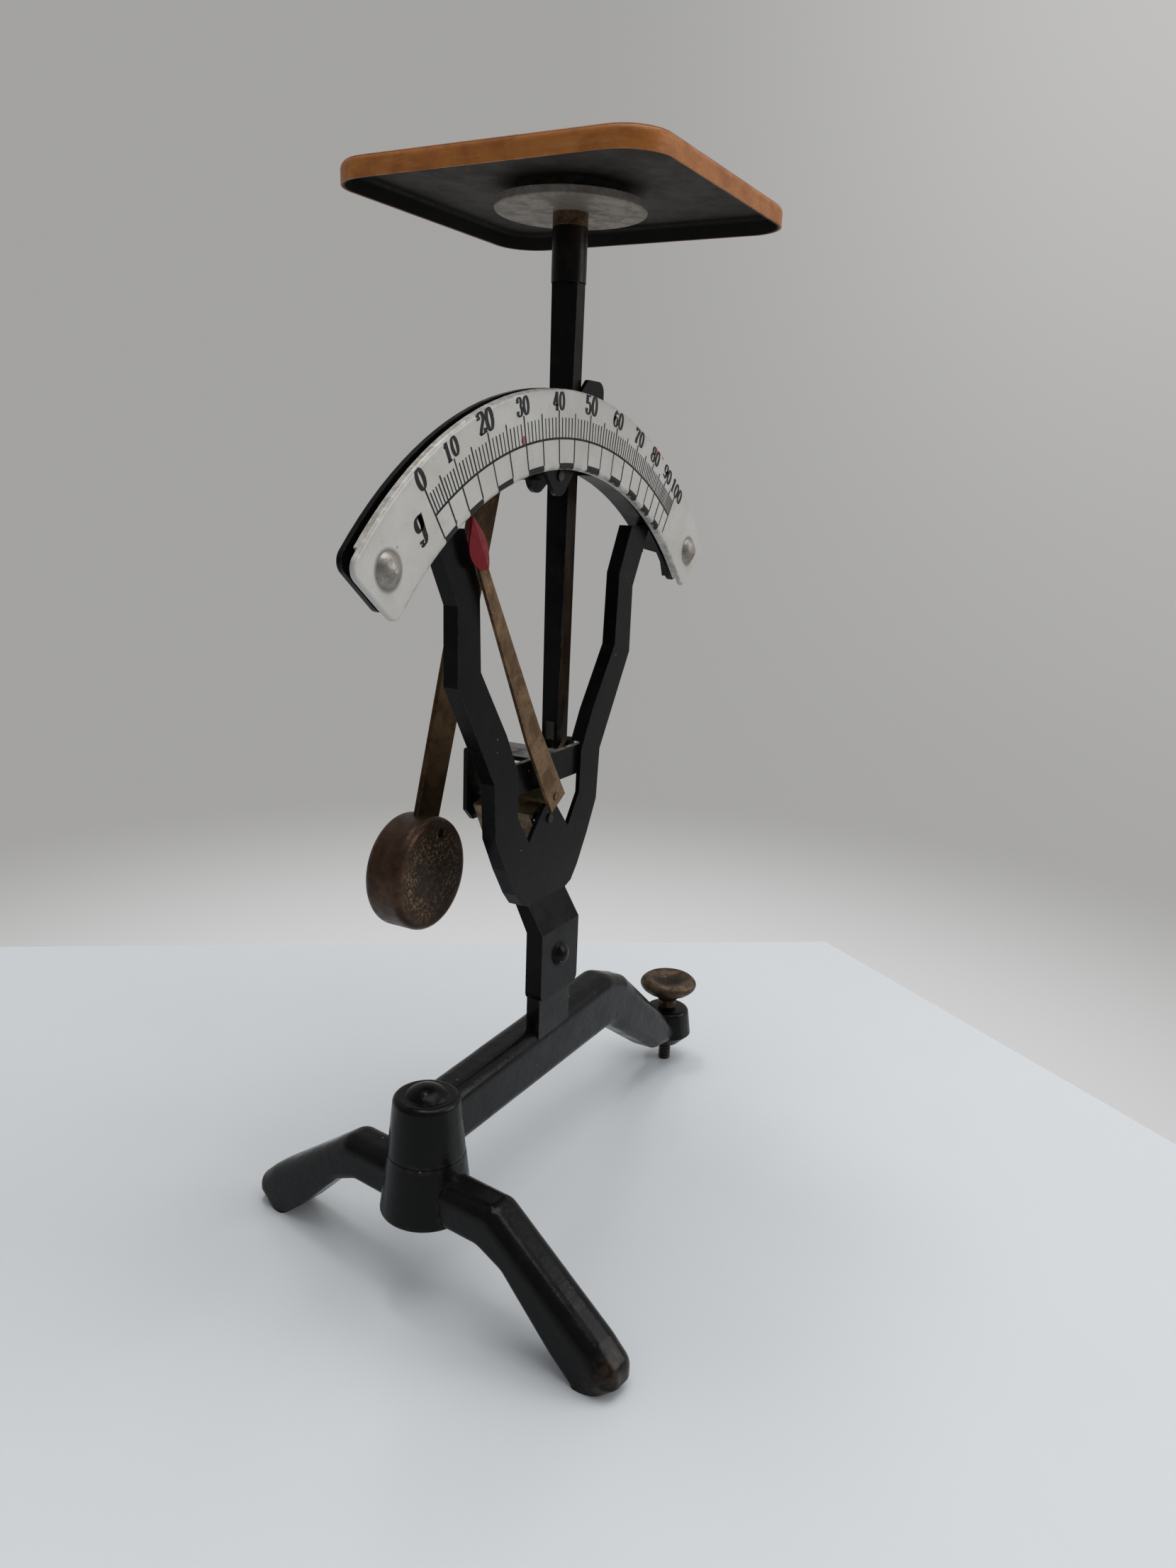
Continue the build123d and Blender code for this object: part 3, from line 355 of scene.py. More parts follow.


# ---- Bearing brackets ---------------------------------------------------------------------
# Two bent straps welded behind the frame. Each carries the back bearing of a pivot shaft.
# Blacked like the frame; the top of the strap is painted grey in patches, a painted sheen where it
# faces the light.

strap_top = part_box("lower_bearing_bracket")[1].z
top_sheen_grey = (0.12, 0.115, 0.105, 1)
bracket_lacquer, tree, shader, place, colour = black_lacquer(
    "bracket_lacquer", waves=200.0, grain=1900.0, depth=0.00006, edge_width=0.0005,
    edge_wear_and_highlight_colour=(0.055, 0.049, 0.042, 1), brown=(0.006, 0.005, 0.0045, 1), rough=0.30)
# Painted sheen: grey in patches on the top face of the strap, where it catches the light.
height = put(tree, "ShaderNodeSeparateXYZ", {0: place}).outputs["Z"]
lit_top = ramp(tree, height, strap_top - 0.0002, strap_top - 0.00005)
sheen_and_scuffs = use(tree, blotches, place, Scale=260.0, Start=0.36, Full=0.56)
sheen_and_scuffs = sums(tree, "MULTIPLY", lit_top, sheen_and_scuffs)
tree.links.new(tint(tree, sheen_and_scuffs, colour, top_sheen_grey), shader.inputs["Base Color"])
give_finish(["lower_bearing_bracket", "upper_bearing_bracket"], bracket_lacquer)


# ---- Pivot shafts, stem pins and their spacer tubes ---------------------------------------
# Turned steel pins, 2.0 and 1.8 mm thick, left bare and oiled; the tubes hold the stem in line.

dark_steel = steel(
    "dark_steel", light=(0.060, 0.052, 0.044, 1), dark=(0.022, 0.018, 0.014, 1), rough=0.34)
give_finish([
    "upper_pivot_shaft", "lower_pivot_shaft", "upper_stem_pin", "lower_stem_pin",
    "upper_stem_spacer", "lower_stem_spacer",
], dark_steel)
give_finish(["scale_spacers"], oiled_steel)


# ---- Lower lever and pointer --------------------------------------------------------------
# The lever is folded from brass sheet; the pointer strip is riveted to its tongue.
# Both are brown with age, the pointer lighter where fingers have set it, its tip painted red.

lever_brass, *_ = patina_brass(
    "lever_brass", dark=(0.070, 0.048, 0.026, 1), light=(0.20, 0.145, 0.078, 1), cloud=330.0,
    edge_width=0.0004, rough=0.40)
give_finish(["lower_lever", "pointer_rivet"], lever_brass)

pointer_brass, *_ = patina_brass(
    "pointer_brass", dark=(0.095, 0.054, 0.026, 1), light=(0.225, 0.140, 0.072, 1), cloud=210.0,
    edge_width=0.0004, rough=0.42)
give_finish(["pointer"], pointer_brass)

tip_paint, tree, shader, place = new_finish("tip_paint", Specular_IOR_Level=0.18)
flaked = use(tree, edge_band_mask, place, Width=0.0004, Break=1100.0)
uneven = use(tree, blotches, place, Scale=600.0, Start=0.3, Full=0.7)
colour = tint(tree, uneven, (0.175, 0.0065, 0.013, 1), (0.120, 0.005, 0.009, 1))
colour = tint(tree, flaked, colour, (0.16, 0.035, 0.03, 1), 0.35)
paint(tree, shader, colour, ramp(tree, uneven, 0.0, 1.0, 0.38, 0.55))
skin(tree, shader, place, 800.0, 2600.0, 0.00005)
give_finish(["pointer_tip"], tip_paint)


# ---- Pendulum -----------------------------------------------------------------------------
# A flat brass arm riveted to the upper lever, and a thick round bob slotted over its end.
# The bob is cast brass, nearly black round its edge and pitted over its face.

arm_brass, *_ = patina_brass(
    "arm_brass", dark=(0.030, 0.016, 0.006, 1), light=(0.082, 0.046, 0.018, 1), cloud=240.0,
    edge_width=0.0005, rough=0.44, rub=0.3)
give_finish(["pendulum_arm", "pendulum_rivets"], arm_brass)


def from_axle(tree, place, axle):
    """How far each point of a surface is from a level line, front to back, through a place."""
    flat = vector_sums(tree, "MULTIPLY", place, (1, 0, 1))[0]
    return distance(tree, flat, (axle.x, 0, axle.z))


bob_low, bob_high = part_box("pendulum_weight")
bob_middle = (bob_low + bob_high) / 2
bob_radius = (bob_high.z - bob_low.z) / 2
bob_brass, tree, shader, place, colour = patina_brass(
    "bob_brass", dark=(0.030, 0.013, 0.006, 1), light=(0.060, 0.028, 0.013, 1), cloud=520.0,
    edge_width=0.0006, rough=0.34, metal=0.6, pits=0.6, rub=0.2)
from_middle = from_axle(tree, place, bob_middle)
face_zone = ramp(tree, from_middle, bob_radius * 0.96, bob_radius * 0.62)
pocked = use(tree, blotches, place, Scale=1500.0, Start=0.34, Full=0.55)
pocked = sums(tree, "MULTIPLY", pocked, face_zone)
colour = tint(tree, pocked, colour, (0.014, 0.009, 0.005, 1), 0.85)
bright = use(tree, blotches, place, Scale=1900.0, Start=0.51, Full=0.58)
gathered = use(tree, blotches, place, Scale=120.0, Start=0.32, Full=0.58)
bright = sums(tree, "MULTIPLY", sums(tree, "MULTIPLY", bright, gathered), face_zone)
tree.links.new(tint(tree, bright, colour, (0.22, 0.14, 0.065, 1)), shader.inputs["Base Color"])
give_finish(["pendulum_weight", "weight_pin"], bob_brass)


# ---- Scale plate --------------------------------------------------------------------------
# Sheet steel enamelled dirty white, its rims turned back, held off the frame by two bushes.
# Yellowed and pitted along the rims, with a few dabs of the pointer's red paint.

def load_angle(grams):
    """Angle of a reading from straight up, to the right, in radians."""
    return radians(-6.0 + 0.87 * degrees(atan((grams - 38.0) / 56.0)))


lower_pivot = next(Vector(joint["pos_m"]) for joint in frame["joints"]
                   if joint["name"] == "pointer_swing")
plate_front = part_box("scale_plate")[0].y
plate_inner, plate_outer = 0.0713, 0.0860
rivet_radius, rivet_angle = 0.0788, radians(46.6)


def on_arc(radius, angle, front=0.0):
    """A place on the plate's face, or that far in front of it."""
    return Vector((lower_pivot.x + radius * sin(angle), plate_front - front,
                   lower_pivot.z + radius * cos(angle)))


enamel, tree, shader, place = new_finish("enamel", Specular_IOR_Level=0.5)
radius_here = from_axle(tree, place, lower_pivot)
yellowed = use(tree, blotches, place, Scale=95.0, Start=0.35, Full=0.75)
smudged = use(tree, blotches, place, Scale=420.0, Start=0.54, Full=0.74)
pitted = use(tree, specks, place, Scale=620.0, Share=0.045, Size=0.17)
fine_pits = use(tree, specks, place, Scale=1700.0, Share=0.06, Size=0.22)


def along_rims(inner_reach, outer_reach, patches):
    """Patches along the plate's inner and outer rims, each reaching in this far."""
    inner = ramp(tree, radius_here, plate_inner + inner_reach, plate_inner)
    outer = ramp(tree, radius_here, plate_outer - outer_reach, plate_outer)
    return sums(tree, "MULTIPLY", sums(tree, "MAXIMUM", inner, outer), patches)


dirty = use(tree, blotches, place, Scale=650.0, Start=0.42, Full=0.60)
rim_dirt = along_rims(0.0009, 0.0006, dirty)
dulled = use(tree, blotches, place, Scale=240.0, Start=0.35, Full=0.7)
rim_grey = along_rims(0.0022, 0.0018, dulled)
colour = tint(tree, yellowed, (0.475, 0.463, 0.437, 1), (0.41, 0.393, 0.352, 1))
colour = tint(tree, smudged, colour, (0.30, 0.27, 0.235, 1), 0.35)
colour = tint(tree, pitted, colour, (0.11, 0.08, 0.06, 1), 0.75)
colour = tint(tree, fine_pits, colour, (0.2, 0.16, 0.12, 1), 0.4)
colour = tint(tree, rim_dirt, colour, (0.16, 0.13, 0.10, 1), 0.6)
colour = tint(tree, rim_grey, colour, (0.26, 0.235, 0.225, 1), 0.45)
for angle in (-rivet_angle, rivet_angle):
    away = distance(tree, place, on_arc(rivet_radius, angle))
    round_rivet = ramp(tree, away, 0.0039, 0.0031)
    colour = tint(tree, round_rivet, colour, (0.09, 0.07, 0.05, 1), 0.75)
ragged = put(tree, "ShaderNodeTexNoise", {"Vector": place, "Scale": 900.0, "Detail": 3.0})
dabs = [
    (on_arc(0.0779, load_angle(29.4)), 0.00075, (0.30, 0.05, 0.085, 1)),
    (on_arc(0.0855, load_angle(79.6)), 0.0007, (0.52, 0.075, 0.11, 1)),
    (on_arc(0.0857, load_angle(82.0)), 0.0006, (0.50, 0.08, 0.11, 1)),
    (on_arc(0.0857, load_angle(84.4)), 0.0006, (0.52, 0.09, 0.12, 1)),
    (on_arc(0.0858, radians(-50.5)), 0.0006, (0.07, 0.012, 0.014, 1)),
    (on_arc(0.0719, load_angle(22.6)), 0.00055, (0.16, 0.09, 0.05, 1)),
]
for middle, size, dab_colour in dabs:
    away = distance(tree, place, middle)
    spread = sums(tree, "ADD", away, sums(tree, "MULTIPLY", ragged.outputs[0], size * 1.3))
    dab = ramp(tree, spread, size * 1.8, size * 1.55)
    colour = tint(tree, dab, colour, dab_colour)
paint(tree, shader, colour, ramp(tree, smudged, 0.0, 1.0, 0.30, 0.5))
skin(tree, shader, place, 130.0, 1900.0, 0.00005)
give_finish(["scale_plate"], enamel)

rivet_metal, tree, shader, place = new_finish("rivet_metal", Metallic=0.85)
dulled = use(tree, blotches, place, Scale=700.0, Start=0.35, Full=0.7)
scratched = use(tree, specks, place, Scale=2600.0, Share=0.3, Size=0.4)
colour = tint(tree, dulled, (0.32, 0.30, 0.28, 1), (0.21, 0.19, 0.165, 1))
colour = tint(tree, scratched, colour, (0.16, 0.12, 0.09, 1), 0.35)
paint(tree, shader, colour, ramp(tree, dulled, 0.0, 1.0, 0.46, 0.60))
skin(tree, shader, place, 900.0, 2800.0, 0.00006)
give_finish(["scale_rivets", "pan_rivet"], rivet_metal)


# ---- Print on the scale plate -------------------------------------------------------------
# Black transfer print under the glaze: a middle line, a tick for every gram, a box line for
# every 5 g, black and white turns on the inner rim, figures every 10 g and the unit letter.

INK_OUT = 0.00002
INK_THICK = 0.00003
BOX_FOOT = 0.07245
BLOCK_TOP = 0.07247
LINE_RADIUS = 0.0770
LINE_HALF = 0.00021
GRAM_END, GRAM_WIDTH = 0.0808, 0.00030
FIVE_GRAM_END, FIVE_GRAM_WIDTH = 0.0817, 0.00034
TEN_GRAM_END, TEN_GRAM_WIDTH = 0.0821, 0.00036
print_shape = bmesh.new()


def turned_profile(points, start, end, steps):
    """A radial profile of (radius, height in front) points, swept along the arc."""
    ring = [print_shape.verts.new(on_arc(radius, start, front)) for radius, front in points]
    edges = [print_shape.edges.new(pair) for pair in zip(ring, ring[1:])]
    bmesh.ops.spin(print_shape, geom=ring + edges, cent=lower_pivot, axis=(0, 1, 0), dvec=(0, 0, 0),
                   angle=end - start, steps=steps, use_merge=False)


def radial_line(grams, inner, outer, width):
    """One straight line along a radius."""
    half = width / 2 / outer
    turned_profile([(inner, INK_OUT), (outer, INK_OUT)],
                   load_angle(grams) - half, load_angle(grams) + half, 1)


turned_profile([(LINE_RADIUS - LINE_HALF, INK_OUT), (LINE_RADIUS + LINE_HALF, INK_OUT)],
               load_angle(0), load_angle(100), 90)
for grams in range(101):
    if grams % 10 == 0:
        radial_line(grams, LINE_RADIUS, TEN_GRAM_END, TEN_GRAM_WIDTH)
    elif grams % 5 == 0:
        radial_line(grams, LINE_RADIUS, FIVE_GRAM_END, FIVE_GRAM_WIDTH)
    else:
        radial_line(grams, LINE_RADIUS, GRAM_END, GRAM_WIDTH)
for grams in range(0, 101, 5):
    radial_line(grams, BOX_FOOT, LINE_RADIUS, FIVE_GRAM_WIDTH)

plate_edge = 0.0712
rim_radius = 0.00065
rim_centre = plate_edge + rim_radius
wrap = rim_radius + INK_OUT
rim_points = [(BLOCK_TOP, INK_OUT)]
for step in range(5):
    turn = radians(22.5 * step)
    rim_points.append((rim_centre - wrap * sin(turn), -rim_radius + wrap * cos(turn)))
for grams in range(0, 100, 10):
    turned_profile(rim_points, load_angle(grams), load_angle(grams + 5), 6)


def pen_arc(centre_x, centre_y, reach_x, reach_y, start, end, count=10):
    """Points along part of an ellipse, its angles in degrees from the right, anticlockwise."""
    turns = [radians(start + (end - start) * step / count) for step in range(count + 1)]
    return [(centre_x + reach_x * cos(turn), centre_y + reach_y * sin(turn)) for turn in turns]


THIN_PEN = 0.085
THICK_PEN = 0.245


def pen_stroke(points, to_plate):
    """A stroke of a broad pen: thick where it runs up or down, thin where it runs across."""
    previous = None
    for index, (x, y) in enumerate(points):
        before = points[max(index - 1, 0)]
        after = points[min(index + 1, len(points) - 1)]
        run = Vector((after[0] - before[0], after[1] - before[1])).normalized()
        half = (THIN_PEN + (THICK_PEN - THIN_PEN) * abs(run.y) ** 1.5) / 2
        side = Vector((-run.y, run.x)) * half
        ends = [to_plate @ Vector((x + side.x, y + side.y, 0)),
                to_plate @ Vector((x - side.x, y - side.y, 0))]
        if previous is None:
            pair = [print_shape.verts.new(end) for end in ends]
            previous = print_shape.edges.new(pair)
        else:
            made = bmesh.ops.extrude_edge_only(print_shape, edges=[previous])["geom"]
            pair = [part for part in made if isinstance(part, bmesh.types.BMVert)]
            previous = [part for part in made if isinstance(part, bmesh.types.BMEdge)
                        and set(part.verts) == set(pair)][0]
            pair.sort(key=lambda vert: (vert.co - ends[0]).length)
            pair[0].co, pair[1].co = ends


# Each figure is 1 high and about 0.56 wide, drawn as pen strokes with a heavy dab at loose ends.
FIGURE_STEP = 0.60
FIGURE_STRETCH = 1.12
FIGURES = {
    "0": [pen_arc(0.28, 0.5, 0.20, 0.47, 0, 360, 28)],
    "1": [[(0.28, 0.0), (0.28, 1.0)], [(0.28, 0.97), (0.20, 0.84), (0.10, 0.78)],
          [(0.12, 0.025), (0.44, 0.025)]],
    "2": [pen_arc(0.28, 0.74, 0.19, 0.24, 160, -25, 14)
          + [(0.36, 0.50), (0.22, 0.28), (0.10, 0.06)],
          [(0.08, 0.07), (0.30, 0.06), (0.47, 0.07)], [(0.46, 0.04), (0.49, 0.26)],
          [(0.13, 0.70), (0.13, 0.80)]],
    "3": [pen_arc(0.27, 0.76, 0.17, 0.22, 165, -75, 14),
          pen_arc(0.27, 0.28, 0.20, 0.26, 80, -165, 16),
          [(0.12, 0.72), (0.12, 0.82)], [(0.10, 0.20), (0.10, 0.30)]],
    "4": [[(0.37, 0.0), (0.37, 1.0)], [(0.35, 0.98), (0.20, 0.62), (0.04, 0.29)],
          [(0.03, 0.28), (0.53, 0.28)], [(0.24, 0.025), (0.50, 0.025)]],
    "5": [[(0.13, 0.97), (0.13, 0.52)], [(0.12, 0.94), (0.30, 0.92), (0.45, 0.97)],
          pen_arc(0.27, 0.31, 0.20, 0.29, 125, -165, 18), [(0.10, 0.20), (0.10, 0.30)]],
    "6": [pen_arc(0.28, 0.30, 0.19, 0.28, 0, 360, 24),
          pen_arc(0.40, 0.42, 0.31, 0.55, 105, 190, 12),
          [(0.43, 0.80), (0.43, 0.90)]],
    "7": [[(0.08, 0.93), (0.28, 0.94), (0.50, 0.93)], [(0.08, 0.98), (0.08, 0.76)],
          [(0.49, 0.94), (0.34, 0.60), (0.25, 0.30), (0.23, 0.0)], [(0.20, 0.28), (0.20, 0.0)]],
    "8": [pen_arc(0.28, 0.74, 0.16, 0.23, 0, 360, 22), pen_arc(0.28, 0.26, 0.20, 0.25, 0, 360, 24)],
    "9": [pen_arc(0.28, 0.70, 0.19, 0.28, 0, 360, 24), pen_arc(0.16, 0.58, 0.31, 0.55, -75, 10, 12),
          [(0.13, 0.10), (0.13, 0.20)]],
    "g": [pen_arc(0.30, 0.70, 0.17, 0.26, 0, 360, 22), [(0.50, 0.97), (0.47, 0.60), (0.42, 0.12)],
          pen_arc(0.26, 0.12, 0.17, 0.24, 0, -150, 14), [(0.13, 0.02), (0.15, 0.12)]],
}


def set_figures(text, radius, angle, height, slant=0.0):
    """Sets figures side by side on the arc, their middle on a radius."""
    start = -FIGURE_STEP / 2 * len(text) + 0.02
    for index, figure in enumerate(text):
        lean = Matrix(((FIGURE_STRETCH, slant, 0, 0), (0, 1, 0, 0), (0, 0, 1, 0), (0, 0, 0, 1)))
        shift = Matrix.Translation((start + FIGURE_STEP * index, -0.5, 0))
        up = Vector((sin(angle), 0, cos(angle)))
        right = Vector((cos(angle), 0, -sin(angle)))
        turn = Matrix((right * height, up * height, Vector((0, -height, 0)))).transposed().to_4x4()
        to_plate = Matrix.Translation(on_arc(radius, angle, INK_OUT)) @ turn @ lean @ shift
        for stroke in FIGURES[figure]:
            pen_stroke(stroke, to_plate)


plain_height = 0.0033
taller = {0: 0.0037, 20: 0.0039, 50: 0.0037}
for grams in range(0, 101, 10):
    tall = taller.get(grams, plain_height)
    set_figures(str(grams), TEN_GRAM_END + tall / 2, load_angle(grams), tall)
set_figures("g", 0.0778, load_angle(0) - radians(3.4), height=0.0043, slant=0.12)

bmesh.ops.recalc_face_normals(print_shape, faces=print_shape.faces)
bmesh.ops.solidify(print_shape, geom=print_shape.faces[:], thickness=INK_THICK)
bmesh.ops.recalc_face_normals(print_shape, faces=print_shape.faces)

ink, tree, shader, place = new_finish("ink", Specular_IOR_Level=0.2)
faded = use(tree, blotches, place, Scale=900.0, Start=0.5, Full=0.8)
colour = tint(tree, faded, (0.006, 0.006, 0.007, 1), (0.07, 0.068, 0.062, 1), 0.35)
paint(tree, shader, colour, ramp(tree, faded, 0.0, 1.0, 0.35, 0.5))
new_piece("scale_print", print_shape, ink, "base")


# ---- Stem ---------------------------------------------------------------------------------
# A channel folded from thin steel, its top rolled to the sleeve that takes the pan's plug.
# Blacked. Faces turned to the front, the sleeve's too, are painted dark brown in patches, as
# painted light.

stem_lacquer, tree, shader, place, colour = black_lacquer(
    "stem_lacquer", waves=240.0, grain=1900.0, depth=0.00005, edge_width=0.0005,
    edge_wear_and_highlight_colour=(0.060, 0.040, 0.024, 1), brown=(0.010, 0.007, 0.005, 1), rough=0.30)
# Painted light: dark brown in patches on the faces turned to the front, where the light falls; the
# side faces stay black.
normal = put(tree, "ShaderNodeNewGeometry").outputs["Normal"]
facing = put(tree, "ShaderNodeSeparateXYZ", {0: normal}).outputs["Y"]
lit_front_face = ramp(tree, facing, -0.45, -0.9)
drawn_out = put(tree, "ShaderNodeMapping", {"Vector": place, "Scale": (1.0, 1.0, 0.16)})
painted_light_brown = use(tree, blotches, drawn_out.outputs[0], Scale=420.0, Start=0.34, Full=0.66)
painted_light_brown = sums(tree, "MULTIPLY", painted_light_brown, lit_front_face)
colour = tint(tree, painted_light_brown, colour, (0.024, 0.012, 0.005, 1), 0.75)
tree.links.new(colour, shader.inputs["Base Color"])
give_finish(["stem"], stem_lacquer)


# ---- Pan ----------------------------------------------------------------------------------
# A square tray pressed from thin sheet and turned upside down, lacquered orange-bronze outside
# and dark grey inside. A washer, a plated disc and a brass plug are riveted under its middle.

pan_low, pan_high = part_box("pan_tray")
pan_middle = (pan_low + pan_high) / 2
half_side = (pan_high.x - pan_low.x) / 2
pan_lacquer, tree, shader, place = new_finish("pan_lacquer", Specular_IOR_Level=0.18)
half_sheet = 0.0004
inner_half = half_side - half_sheet
inner_corner = 0.0086
straight_half = inner_half - inner_corner
any_height = 9.0
shifted = vector_sums(tree, "SUBTRACT", place, (pan_middle.x, pan_middle.y, 0))[0]
spread = vector_sums(tree, "ABSOLUTE", shifted)[0]
past_corner = vector_sums(tree, "SUBTRACT", spread, (straight_half, straight_half, any_height))[0]
past_corner = vector_sums(tree, "MAXIMUM", past_corner, (0, 0, 0))[0]
from_corner = vector_sums(tree, "LENGTH", past_corner)["Value"]
level = put(tree, "ShaderNodeSeparateXYZ", {0: place}).outputs["Z"]
inside = sums(tree, "MULTIPLY", sums(tree, "LESS_THAN", from_corner, inner_corner),
              sums(tree, "LESS_THAN", level, pan_high.z - half_sheet))
mottled = use(tree, blotches, place, Scale=190.0, Start=0.36, Full=0.66)
drawn_out = put(tree, "ShaderNodeMapping", {"Vector": place, "Scale": (0.35, 0.35, 1.6)})
streaked = use(tree, blotches, drawn_out.outputs[0], Scale=620.0, Start=0.46, Full=0.70)
chipped = use(tree, edge_band_mask, place, Width=0.0008, Break=420.0)
freckled = use(tree, specks, place, Scale=800.0, Share=0.08, Size=0.25)
outside = tint(tree, mottled, (0.335, 0.118, 0.025, 1), (0.245, 0.080, 0.016, 1))
outside = tint(tree, streaked, outside, (0.43, 0.18, 0.052, 1), 0.4)
outside = tint(tree, freckled, outside, (0.10, 0.035, 0.014, 1), 0.5)
top_edge = ramp(tree, level, pan_high.z - 0.0011, pan_high.z - 0.0002)
top_edge = sums(tree, "MULTIPLY", top_edge, chipped)
outside = tint(tree, top_edge, outside, (0.46, 0.28, 0.14, 1), 0.8)
dusty = use(tree, blotches, place, Scale=120.0, Start=0.35, Full=0.7)
rusty = use(tree, blotches, place, Scale=330.0, Start=0.62, Full=0.74)
underside = tint(tree, dusty, (0.022, 0.018, 0.015, 1), (0.040, 0.034, 0.029, 1))
underside = tint(tree, rusty, underside, (0.075, 0.042, 0.026, 1), 0.35)
# Painted shade: close to the walls the underside darkens to nearly black, where the hollow tray is
# in shade.
wall_shade = ramp(tree, from_corner, inner_corner - 0.0040, inner_corner - 0.0022)
underside = tint(tree, wall_shade, underside, (0.008, 0.007, 0.006, 1), 0.85)
gloss = ramp(tree, mottled, 0.0, 1.0, 0.36, 0.5)
paint(tree, shader, tint(tree, inside, outside, underside),
      sums(tree, "MULTIPLY_ADD", inside, 0.18, gloss))
tree.links.new(ramp(tree, inside, 0.0, 1.0, 0.12, 0.0), shader.inputs["Metallic"])
skin(tree, shader, place, 150.0, 1400.0, 0.00012)
give_finish(["pan_tray"], pan_lacquer)

disc_zinc, tree, shader, place = new_finish("disc_zinc", Metallic=0.35)
speckled = use(tree, blotches, place, Scale=1300.0, Start=0.46, Full=0.62)
cloudy = use(tree, blotches, place, Scale=300.0, Start=0.35, Full=0.7)
sheen_and_scuffs = use(tree, edge_band_mask, place, Width=0.0005, Break=900.0)
colour = tint(tree, cloudy, (0.235, 0.210, 0.180, 1), (0.140, 0.120, 0.097, 1))
colour = tint(tree, speckled, colour, (0.14, 0.12, 0.10, 1), 0.6)
colour = tint(tree, sheen_and_scuffs, colour, (0.10, 0.09, 0.08, 1), 0.6)
paint(tree, shader, colour, ramp(tree, cloudy, 0.0, 1.0, 0.42, 0.6))
skin(tree, shader, place, 900.0, 2600.0, 0.00005)
give_finish(["pan_disc"], disc_zinc)
give_finish(["pan_washer"], oiled_steel)

plug_brass, *_ = patina_brass(
    "plug_brass", dark=(0.055, 0.034, 0.019, 1), light=(0.14, 0.088, 0.046, 1), cloud=520.0,
    edge_width=0.0004, rough=0.42)
give_finish(["pan_spigot"], plug_brass)


# ---- Table, backdrop and light ------------------------------------------------------------
# A pale glossy board on a white paper sweep. The sweep shows only to the eye and in gloss, and
# the soft daylight of the room comes through it from all round, with three soft boxes.

view_along = Vector((0.85294, 0.45936, 0)).normalized()
view_across = Vector((view_along.y, -view_along.x, 0))
view_place = Vector((-0.20818, -0.11930, 0.155045))


def on_table(ahead, aside, level):
    """A place on the table, measured from below the camera."""
    spot = view_along * ahead + view_across * aside
    return (view_place.x + spot.x, view_place.y + spot.y, level)


board_thick = 0.003
board_shape = bmesh.new()
corners = [on_table(0.3895, 0.088, 0), on_table(0.2835, -0.80, 0),
           on_table(-0.85, -0.30, 0), on_table(-0.75, 0.66, 0)]
board_face = board_shape.faces.new([board_shape.verts.new(corner) for corner in corners])
board_shape.normal_update()
if board_face.normal.z < 0:
    bmesh.ops.reverse_faces(board_shape, faces=[board_face])
extruded = bmesh.ops.extrude_face_region(board_shape, geom=[board_face])
lowered = [part for part in extruded["geom"] if isinstance(part, bmesh.types.BMVert)]
bmesh.ops.translate(board_shape, verts=lowered, vec=(0, 0, -board_thick))
bmesh.ops.recalc_face_normals(board_shape, faces=board_shape.faces)
board_finish, tree, shader, place = new_finish("board_finish", Specular_IOR_Level=0.35)
clouded = use(tree, blotches, place, Scale=9.0, Start=0.3, Full=0.75)
colour = tint(tree, clouded, (0.565, 0.586, 0.600, 1), (0.55, 0.571, 0.585, 1))
paint(tree, shader, colour, ramp(tree, clouded, 0.0, 1.0, 0.16, 0.22))
board = mesh_object("board", board_shape, board_finish)

sweep_shape = bmesh.new()
profile = [(0.0, -board_thick), (0.75, -board_thick), (1.0, 0.01), (1.2, 0.07), (1.36, 0.20),
           (1.45, 0.42), (1.48, 0.8), (1.48, 2.2)]
ring = [sweep_shape.verts.new((radius, 0, level)) for radius, level in profile]
edges = [sweep_shape.edges.new(pair) for pair in zip(ring, ring[1:])]
bmesh.ops.spin(sweep_shape, geom=ring + edges, cent=(0, 0, 0), axis=(0, 0, 1), dvec=(0, 0, 0),
               angle=2 * pi, steps=72, use_merge=True)
bmesh.ops.remove_doubles(sweep_shape, verts=sweep_shape.verts, dist=0.00001)
bmesh.ops.recalc_face_normals(sweep_shape, faces=sweep_shape.faces)
paper = bpy.data.materials.new("paper")
paper.use_nodes = True
tree = paper.node_tree
tree.nodes.clear()
place = put(tree, "ShaderNodeTexCoord").outputs["Object"]
level = put(tree, "ShaderNodeSeparateXYZ", {0: place}).outputs["Z"]
aside = vector_sums(tree, "DOT_PRODUCT", place, view_across)["Value"]
ahead = vector_sums(tree, "DOT_PRODUCT", place, view_along)["Value"]
from_middle = vector_sums(tree, "LENGTH", place)["Value"]
# Painted light and shade on the glowing sweep: lighter towards its lit side and upwards, darker on
# its unlit side.
lit_side = sums(tree, "MULTIPLY", ramp(tree, aside, -0.1, 0.75),
                ramp(tree, level, -0.1, 0.9, 0.3, 1.0))
paper_colour = tint(tree, lit_side, (0.368, 0.364, 0.354, 1), (0.545, 0.54, 0.53, 1))
unlit_side = ramp(tree, ahead, 0.15, -0.45)
paper_colour = tint(tree, unlit_side, paper_colour, (0.20, 0.20, 0.20, 1))
near_board = ramp(tree, from_middle, 0.36, 0.11)
paper_colour = tint(tree, near_board, paper_colour, (0.64, 0.64, 0.645, 1))
glow = put(tree, "ShaderNodeEmission", {"Color": paper_colour, "Strength": 1.0})
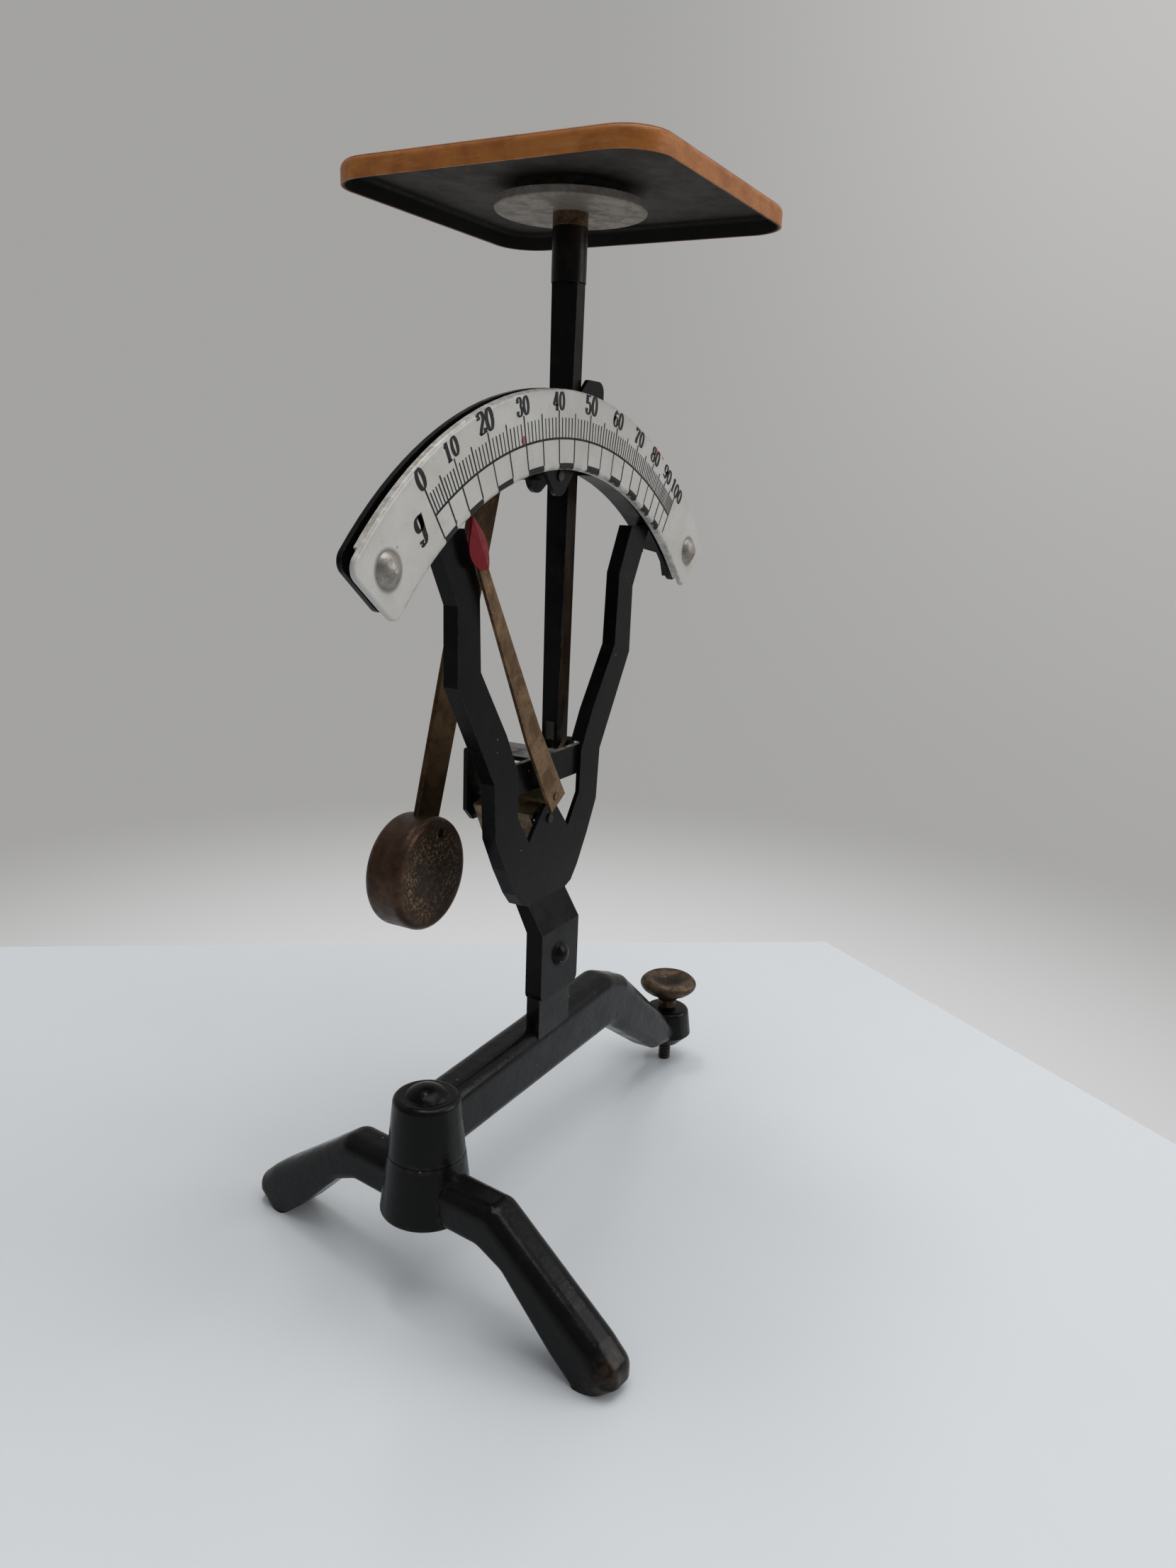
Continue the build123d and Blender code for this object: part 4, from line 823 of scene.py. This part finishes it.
put(tree, "ShaderNodeOutputMaterial", {"Surface": glow.outputs[0]})
sweep = mesh_object("sweep", sweep_shape, paper)
for polygon in sweep.data.polygons:
    polygon.use_smooth = True
sweep.visible_diffuse = False
sweep.visible_shadow = False

world = bpy.data.worlds.new("room")
bpy.context.scene.world = world
world.use_nodes = True
room = world.node_tree.nodes["Background"]
room.inputs["Color"].default_value = (0.95, 0.97, 1.0, 1)
rays = put(world.node_tree, "ShaderNodeLightPath")
daylight, daylight_in_gloss = 0.46, 0.17
strength = ramp(
    world.node_tree, rays.outputs["Is Glossy Ray"], 0.0, 1.0, daylight, daylight_in_gloss)
world.node_tree.links.new(strength, room.inputs["Strength"])


def soft_box(name, place, aim, width, power):
    """A square soft light that points at a place."""
    lamp = bpy.data.lights.new(name, "AREA")
    lamp.shape = "SQUARE"
    lamp.size = width
    lamp.energy = power
    box = bpy.data.objects.new(name, lamp)
    bpy.context.scene.collection.objects.link(box)
    box.location = place
    box.rotation_euler = (Vector(aim) - Vector(place)).to_track_quat("-Z", "Y").to_euler()


soft_box("ceiling_box", (0.10, -0.22, 1.45), aim=(0, 0, 0.05), width=1.2, power=14.0)
soft_box("lamp_box", on_table(0.40, -0.12, 1.0), aim=(0, 0, 0.05), width=0.15, power=1.0)
soft_box("window_box", (0.55, -0.95, 0.55), aim=(0, 0, 0.10), width=0.7, power=4.6)

camera_data = bpy.data.cameras.new("camera")
camera_data.sensor_width = 36.0
camera_data.sensor_fit = "HORIZONTAL"
camera_data.lens = 35.15
camera_data.clip_start = 0.01
camera_data.clip_end = 20.0
camera = bpy.data.objects.new("camera", camera_data)
bpy.context.scene.collection.objects.link(camera)
heading, downward, lean = -1.07678, 0.25057, 0.03915
turn = (Matrix.Rotation(heading, 4, "Z") @ Matrix.Rotation(pi / 2 - downward, 4, "X")
        @ Matrix.Rotation(lean, 4, "Z"))
camera.matrix_world = Matrix.Translation(view_place) @ turn
bpy.context.scene.camera = camera
bpy.context.scene.view_settings.view_transform = "Standard"
